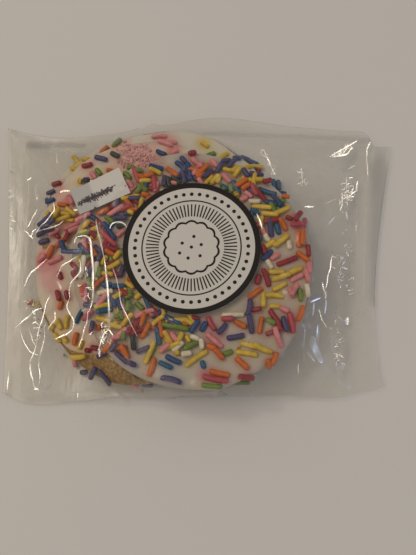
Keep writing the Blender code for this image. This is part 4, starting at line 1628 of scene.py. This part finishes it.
film = piece_from(
    "film", np.concatenate([film_points, crease_points]), film_faces + crease_faces, clear, creased,
)
for face in film.data.polygons[len(film_faces) + fold_faces:]:
    face.material_index = 1
    face.use_smooth = False
film_haze = between((HAZE["free"], HAZE["clinging"]), read_at(cling, plan) * is_upper)
darker = 0 * film_haze
for start, end, half_width, more_haze, dark in PATCHES:
    start, end = (
        np.array(film_skin.ray_cast(CAMERA_PLACE, line_of_sight(*pixel))[0] or seen_at(*pixel, 0.0))[:2]
        for pixel in (start, end)
    )
    share = np.clip((plan - start) @ (end - start) / ((end - start) @ (end - start)), 0, 1)
    off = np.linalg.norm(plan - start - share[:, None] * (end - start), axis=1)
    weight = eased(PATCH_CORE * (1 - off / (half_width * MM))) * is_upper
    film_haze += more_haze * weight
    darker += dark * weight
crease_haze = np.full(len(crease_points), HAZE["creased"])
keep_on_mesh(film, "haze", np.concatenate([film_haze, crease_haze]))
keep_on_mesh(film, "doubled", np.concatenate([darker, 0 * crease_haze]))
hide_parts("bag")
print("film:", len(film.data.polygons), "faces")

# %% [markdown]
# ## The round label
#
# The label is die-cut from coated white paper and printed in black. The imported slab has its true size, so
# it stays and gets the paper's finish: nearly white, faintly warm, with a weak sheen and the slight tooth
# of paper.
#
# The print is plain: a black rim, a thin ring, a ring of dots, a sunburst of short lines and a scalloped
# biscuit in the middle. It could be drawn with math nodes, but then its edges are only as sharp as the
# picture that an export bakes. As thin ink shapes that lie on the paper it stays crisp at any distance.

# %% Label paper
coated_paper, paper_place = new_finish("coated white label paper")
fibres = add(coated_paper, "TexNoise", {
    "Vector": paper_place, "Scale": per_mm(0.6), "Detail": 4.0, "Roughness": 0.6,
}).outputs["Fac"]
paper_tone = add(coated_paper, "Mix", {
    "Factor": fibres, COLOUR_A: colour("#DBD8D2"), COLOUR_B: colour("#D2CEC8"),
}, data_type="RGBA")
paper_bump = add(coated_paper, "Bump", {"Height": fibres, "Strength": 0.1, "Distance": 0.05 * MM})
paper = add(coated_paper, "BsdfPrincipled", {
    "Base Color": paper_tone.outputs[COLOUR_OUT], "Roughness": 0.5,
    "Normal": paper_bump.outputs["Normal"],
})
add(coated_paper, "OutputMaterial", {"Surface": paper.outputs["BSDF"]})

black_ink, ink_place = new_finish("black printing ink")
ink_cover = add(black_ink, "TexNoise", {
    "Vector": ink_place, "Scale": per_mm(0.5), "Detail": 3.0,
}).outputs["Fac"]
ink_tone = add(black_ink, "Mix", {
    "Factor": ink_cover, COLOUR_A: colour("#141110"), COLOUR_B: colour("#1F1C1A"),
}, data_type="RGBA")
ink = add(black_ink, "BsdfPrincipled", {
    "Base Color": ink_tone.outputs[COLOUR_OUT], "Roughness": 0.6, "Specular IOR Level": 0.3,
})
add(black_ink, "OutputMaterial", {"Surface": ink.outputs["BSDF"]})

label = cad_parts["label"]
label.data.materials.clear()
label.data.materials.append(coated_paper)
label_skin = skin_of(label)
print("label:", len(label.data.polygons), "faces, with a paper finish")

# %% Label print
INK_ABOVE, INK_BELOW = 0.035 * MM, 0.03 * MM
FAR_ABOVE_LABEL = high.z + 1.0 * MM
RIM_BAND = (23.3, 25.38)           # radii in mm
THIN_RING = (17.95, 18.45)
DOT_RING = (20.85, 44)             # radius and number of dots
RING_DOT = (0.72, 0.036, 12)       # radius of a dot, of its pinhole, and how many corners it has
SUNBURST = (12.0, 16.8, 0.5, 72)   # inner and outer radius, width and number of lines
SCALLOPS = (9.0, 0.8, 14, 0.8)     # inner radius, depth, number and the line's width
CRUMB_DOTS = ((0.0, 0.0), (3.6, 0.9), (-3.4, 1.6), (0.9, 4.1), (-1.2, -4.2), (3.2, -3.4), (-4.3, -2.2))
CRUMB_DOT = (0.62, 0.04, 14)       # the same three as for a dot of the ring
RING_SPOTS, SCALLOP_SPOTS = 128, 196

ink_points, ink_faces = [], []


def on_label(spot, lift):
    """A spot of the print, from millimetres round the label's middle to a point just off the paper."""
    place = LABEL_MIDDLE + np.array(spot) * MM
    hit = label_skin.find_nearest(Vector((*place, FAR_ABOVE_LABEL)))[0]
    return (*place, hit.z + lift)


def ink_band(inner, outer, closed=True):
    """A thin slab of ink between two rows of spots, beside each other."""
    ink_faces.extend(strip_faces(len(ink_points), len(inner), closed))
    for a, b in zip(inner, outer):
        corners = ((a, -INK_BELOW), (b, -INK_BELOW), (b, INK_ABOVE), (a, INK_ABOVE))
        ink_points.extend(on_label(spot, lift) for spot, lift in corners)


def circle_spots(radius, count, wave=0.0, waves=0):
    """Spots round a circle, which may bulge outwards in a number of waves."""
    turns = np.linspace(0, TURN, count, endpoint=False)
    reach = radius + wave * np.abs(np.sin(turns * waves / 2))
    return np.stack([reach * np.cos(turns), reach * np.sin(turns)], axis=-1)


def ink_dot(spot, radius, hole, count):
    """A dot of ink: a ring whose hole is too small to see."""
    ink_band(spot + circle_spots(hole, count), spot + circle_spots(radius, count))


for inner, outer in (RIM_BAND, THIN_RING):
    ink_band(circle_spots(inner, RING_SPOTS), circle_spots(outer, RING_SPOTS))
for spot in circle_spots(*DOT_RING):
    ink_dot(spot, *RING_DOT)
start, stop, width, lines = SUNBURST
for turn in np.linspace(0, TURN, lines, endpoint=False):
    edge = [towards(turn) * reach for reach in (start, stop)]
    aside = towards(turn + TURN / 4) * width / 2
    ink_band([spot - aside for spot in edge], [spot + aside for spot in edge], closed=False)
radius, depth, count, line = SCALLOPS
ink_band(*(circle_spots(reach, SCALLOP_SPOTS, depth, count) for reach in (radius, radius + line)))
for spot in CRUMB_DOTS:
    ink_dot(spot, *CRUMB_DOT)
label_print = piece_from("label_print", ink_points, ink_faces, black_ink)
label_print.data.shade_flat()
print("label print:", len(ink_faces), "faces")

# %% [markdown]
# ## The price sticker
#
# It comes from a pricing gun: uncoated white paper, 21 by 12 mm, with a small nick cut in its lower edge.
# It is stuck across a dip in the film, so its left third lifts and turns away from the light, and its
# colour there is painted darker, as painted shade. The imported slab is too coarse for that, so a finer
# sheet replaces it. It is read off the slab's own surface, then bent along one line. The price is struck
# out with a pen: a tight zigzag and a few bars of ink, as thin ribbons that lie on the paper.

# %% Price sticker
STICKER_LENGTH, STICKER_WIDTH = 20.6 * MM, 12.0 * MM
STICKER_MIDDLE = np.array((-34.8, 19.5)) * MM
STICKER_TURN = math.radians(24.5)
STICKER_STEPS = (84, 48)
STICKER_THICK = 0.16 * MM
BEND_AT = -0.12                 # along the sticker, from -0.5 to 0.5
BEND_RISE = 1.2 * MM            # how far its left edge lifts
BEND_CURVE = 1.4                # above 1, it curves up instead of leaving at an angle
ON_SLAB = 0.998                 # it is this much smaller, so that it stays on the slab
NEAR_SLAB = 20.0 * MM           # the height from which the slab's nearest spot is looked for beside it
NICK_AT, NICK_WIDTH, NICK_DEPTH = -0.2, 1.1 * MM, 0.9 * MM
PAINTED_SHADE_LEFT = 0.75                  # how far painted shade darkens the left part
PAINTED_SHADE_EDGE = (1.0 * MM, 0.7 * MM)      # how far it fades to the left and to the right of the bend
SHEET_CORNER = math.radians(40)

sticker_skin = skin_of(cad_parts["price_sticker"])
sticker_along = np.array((math.cos(STICKER_TURN), math.sin(STICKER_TURN)))
sticker_across = np.array((-math.sin(STICKER_TURN), math.cos(STICKER_TURN)))


def on_sticker(along, across, lift):
    """A point on the sticker's upper face. along and across are in metres from its middle."""
    place = STICKER_MIDDLE + sticker_along * along + sticker_across * across
    hit = met_by(sticker_skin, place) or sticker_skin.find_nearest(Vector((*place, NEAR_SLAB)))[0]
    left = max(0.0, BEND_AT * STICKER_LENGTH - along) / ((BEND_AT + 0.5) * STICKER_LENGTH)
    return np.array((*place, hit.z + lift + BEND_RISE * left**BEND_CURVE))


long_steps, short_steps = STICKER_STEPS
upper, lower = np.zeros((2, long_steps + 1, short_steps + 1, 3))
for column, share in enumerate(np.linspace(-0.5, 0.5, long_steps + 1)):
    along = share * STICKER_LENGTH * ON_SLAB
    cut = max(0.0, 1 - abs(along - NICK_AT * STICKER_LENGTH) / (NICK_WIDTH / 2)) * NICK_DEPTH
    for row, deep in enumerate(np.linspace(-0.5, 0.5, short_steps + 1)):
        across = max(deep * STICKER_WIDTH * ON_SLAB, cut * (0.5 - deep) - STICKER_WIDTH * ON_SLAB / 2)
        upper[column, row] = on_sticker(along, across, 0.0)
        lower[column, row] = upper[column, row] - (0, 0, STICKER_THICK)


def sheet_faces(columns, rows):
    """Faces of a closed thin sheet: upper points first, then lower ones, both by column and row."""
    def spot(column, row, under):
        return under * columns * rows + column * rows + row
    faces = []
    for c in range(columns - 1):
        for r in range(rows - 1):
            faces.append((spot(c, r, 0), spot(c + 1, r, 0), spot(c + 1, r + 1, 0), spot(c, r + 1, 0)))
            faces.append((spot(c, r + 1, 1), spot(c + 1, r + 1, 1), spot(c + 1, r, 1), spot(c, r, 1)))
    rim = [(c, 0) for c in range(columns - 1)] + [(columns - 1, r) for r in range(rows - 1)]
    rim += [(c, rows - 1) for c in range(columns - 1, 0, -1)] + [(0, r) for r in range(rows - 1, 0, -1)]
    for a, b in zip(rim, rim[1:] + rim[:1]):
        faces.append((spot(*a, 1), spot(*b, 1), spot(*b, 0), spot(*a, 0)))
    return faces


plain_paper, plain_place = new_finish("uncoated sticker paper")
plain_fibres = add(plain_paper, "TexNoise", {
    "Vector": plain_place, "Scale": per_mm(0.5), "Detail": 5.0, "Roughness": 0.7,
}).outputs["Fac"]
plain_tone = add(plain_paper, "Mix", {
    "Factor": plain_fibres, COLOUR_A: colour("#DFDDD9"), COLOUR_B: colour("#D3D0CB"),
}, data_type="RGBA").outputs[COLOUR_OUT]
fold_line = STICKER_MIDDLE @ sticker_along + BEND_AT * STICKER_LENGTH
along_paper = add(plain_paper, "VectorMath", {
    0: plain_place, 1: (*sticker_along, 0.0),
}, operation="DOT_PRODUCT").outputs["Value"]
# painted shade: left of the bend the paper's colour is darkened towards grey
painted_shade_share = add(plain_paper, "MapRange", {
    "Value": along_paper, "From Min": fold_line - PAINTED_SHADE_EDGE[0], "From Max": fold_line + PAINTED_SHADE_EDGE[1],
    "To Min": PAINTED_SHADE_LEFT, "To Max": 0.0,
}, interpolation_type="SMOOTHSTEP").outputs["Result"]
sticker_tone = add(plain_paper, "Mix", {
    "Factor": painted_shade_share, COLOUR_A: plain_tone, COLOUR_B: colour("#B4B5B6"),
}, data_type="RGBA").outputs[COLOUR_OUT]
plain_bump = add(plain_paper, "Bump", {"Height": plain_fibres, "Strength": 0.2, "Distance": 0.06 * MM})
plain = add(plain_paper, "BsdfPrincipled", {
    "Base Color": sticker_tone, "Roughness": 0.75, "Normal": plain_bump.outputs["Normal"],
})
add(plain_paper, "OutputMaterial", {"Surface": plain.outputs["BSDF"]})

price_sheet = piece_from(
    "price_sheet", np.concatenate([upper.reshape(-1, 3), lower.reshape(-1, 3)]),
    sheet_faces(long_steps + 1, short_steps + 1), plain_paper,
)
price_sheet.data.set_sharp_from_angle(angle=SHEET_CORNER)
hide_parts("price_sticker")
print("price sticker:", len(price_sheet.data.polygons), "faces")

# %% Pen marks
PEN_LIFT = 0.05 * MM
PEN_OVER = 0.1                           # each stroke lies higher than the one before by this share
PEN_STEP = 0.2 * MM
PEN_INSIDE = (0.495, 0.48)               # strokes stay within these shares of the sticker's two sides
ZIGZAG = (-9.6, 5.0, -1.4, 0.24)         # from and to along the sticker, place across it, width, in mm
ZIGZAG_SWINGS = 27
ZIGZAG_REACH = (1.0, 2.3)                # how far it swings at its ends and in its middle, in mm
ZIGZAG_SHORT = (0.35, 1.0)               # the shares of that reach that a swing may have
ZIGZAG_SHAKE = 0.45                      # how unevenly the swings follow each other, in mm
BARS = (                                 # straight strokes: the same four numbers
    (-8.8, 3.6, -1.9, 0.4), (-8.0, 4.4, -1.4, 0.5), (-8.4, 3.0, -1.0, 0.36), (-6.4, 6.4, -0.6, 0.26),
)
BAR_SPOTS, BAR_SHAKE = 9, 0.12           # how many spots a bar runs through, and how unevenly, in mm
NEVER_ZERO = 1e-9                        # keeps a division from zero

pen_draw = np.random.default_rng(SEEDS["pen"])
start, stop, middle_line, width = ZIGZAG
zigzag = []
for swing in range(2 * ZIGZAG_SWINGS):
    share = swing / (2 * ZIGZAG_SWINGS - 1)
    reach = between(ZIGZAG_REACH, math.sin(math.pi * share))
    reach *= pen_draw.uniform(*ZIGZAG_SHORT) * (1 if swing % 2 else -1)
    along = start + (stop - start) * share + pen_draw.normal(0, ZIGZAG_SHAKE)
    zigzag.append((along * MM, (middle_line + reach) * MM))
strokes = [(zigzag, width * MM)]
for start, stop, middle_line, width in BARS:
    bar = [
        (along * MM, (middle_line + pen_draw.normal(0, BAR_SHAKE)) * MM)
        for along in np.linspace(start, stop, BAR_SPOTS)
    ]
    strokes.append((bar, width * MM))

pen_ink, pen_place = new_finish("dark ballpoint ink")
pen_cover = add(pen_ink, "TexNoise", {
    "Vector": pen_place, "Scale": per_mm(0.7), "Detail": 2.0,
}).outputs["Fac"]
pen_tone = add(pen_ink, "Mix", {
    "Factor": pen_cover, COLOUR_A: colour("#32262E"), COLOUR_B: colour("#524450"),
}, data_type="RGBA")
pen = add(pen_ink, "BsdfPrincipled", {"Base Color": pen_tone.outputs[COLOUR_OUT], "Roughness": 0.5})
add(pen_ink, "OutputMaterial", {"Surface": pen.outputs["BSDF"]})

pen_limits = np.array((STICKER_LENGTH, STICKER_WIDTH)) * PEN_INSIDE
pen_points, pen_faces = [], []
for number, (stroke, width) in enumerate(strokes):
    path = smooth_path(np.array(stroke), PEN_STEP)
    pen_faces += strip_faces(len(pen_points), len(path))
    over = PEN_LIFT * (1 + PEN_OVER * number)
    for index, spot in enumerate(path):
        ahead = path[min(index + 1, len(path) - 1)] - path[max(index - 1, 0)]
        ahead /= max(np.linalg.norm(ahead), NEVER_ZERO)
        side = np.array((-ahead[1], ahead[0])) * width / 2
        for offset, lift in ((side, -over), (-side, -over), (-side, over), (side, over)):
            pen_points.append(on_sticker(*np.clip(spot + offset, -pen_limits, pen_limits), lift))
pen_marks = piece_from("pen_marks", pen_points, pen_faces, pen_ink)
pen_marks.data.shade_flat()
print("pen marks:", len(pen_faces), "faces")

# %% [markdown]
# ## Put everything on the part
#
# Every new piece moves with the part's one body.

# %% Join the part's body
SLOTS = {
    "bag_film": [film], "label_paper": [label_print], "sticker_paper": [price_sheet, pen_marks],
    "biscuit": [*biscuits.values(), crumbs], "icing": list(icings.values()),
    "sprinkles": sprinkle_pieces,
}
for slot_name, pieces in SLOTS.items():
    for piece in pieces:
        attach(piece, "root")
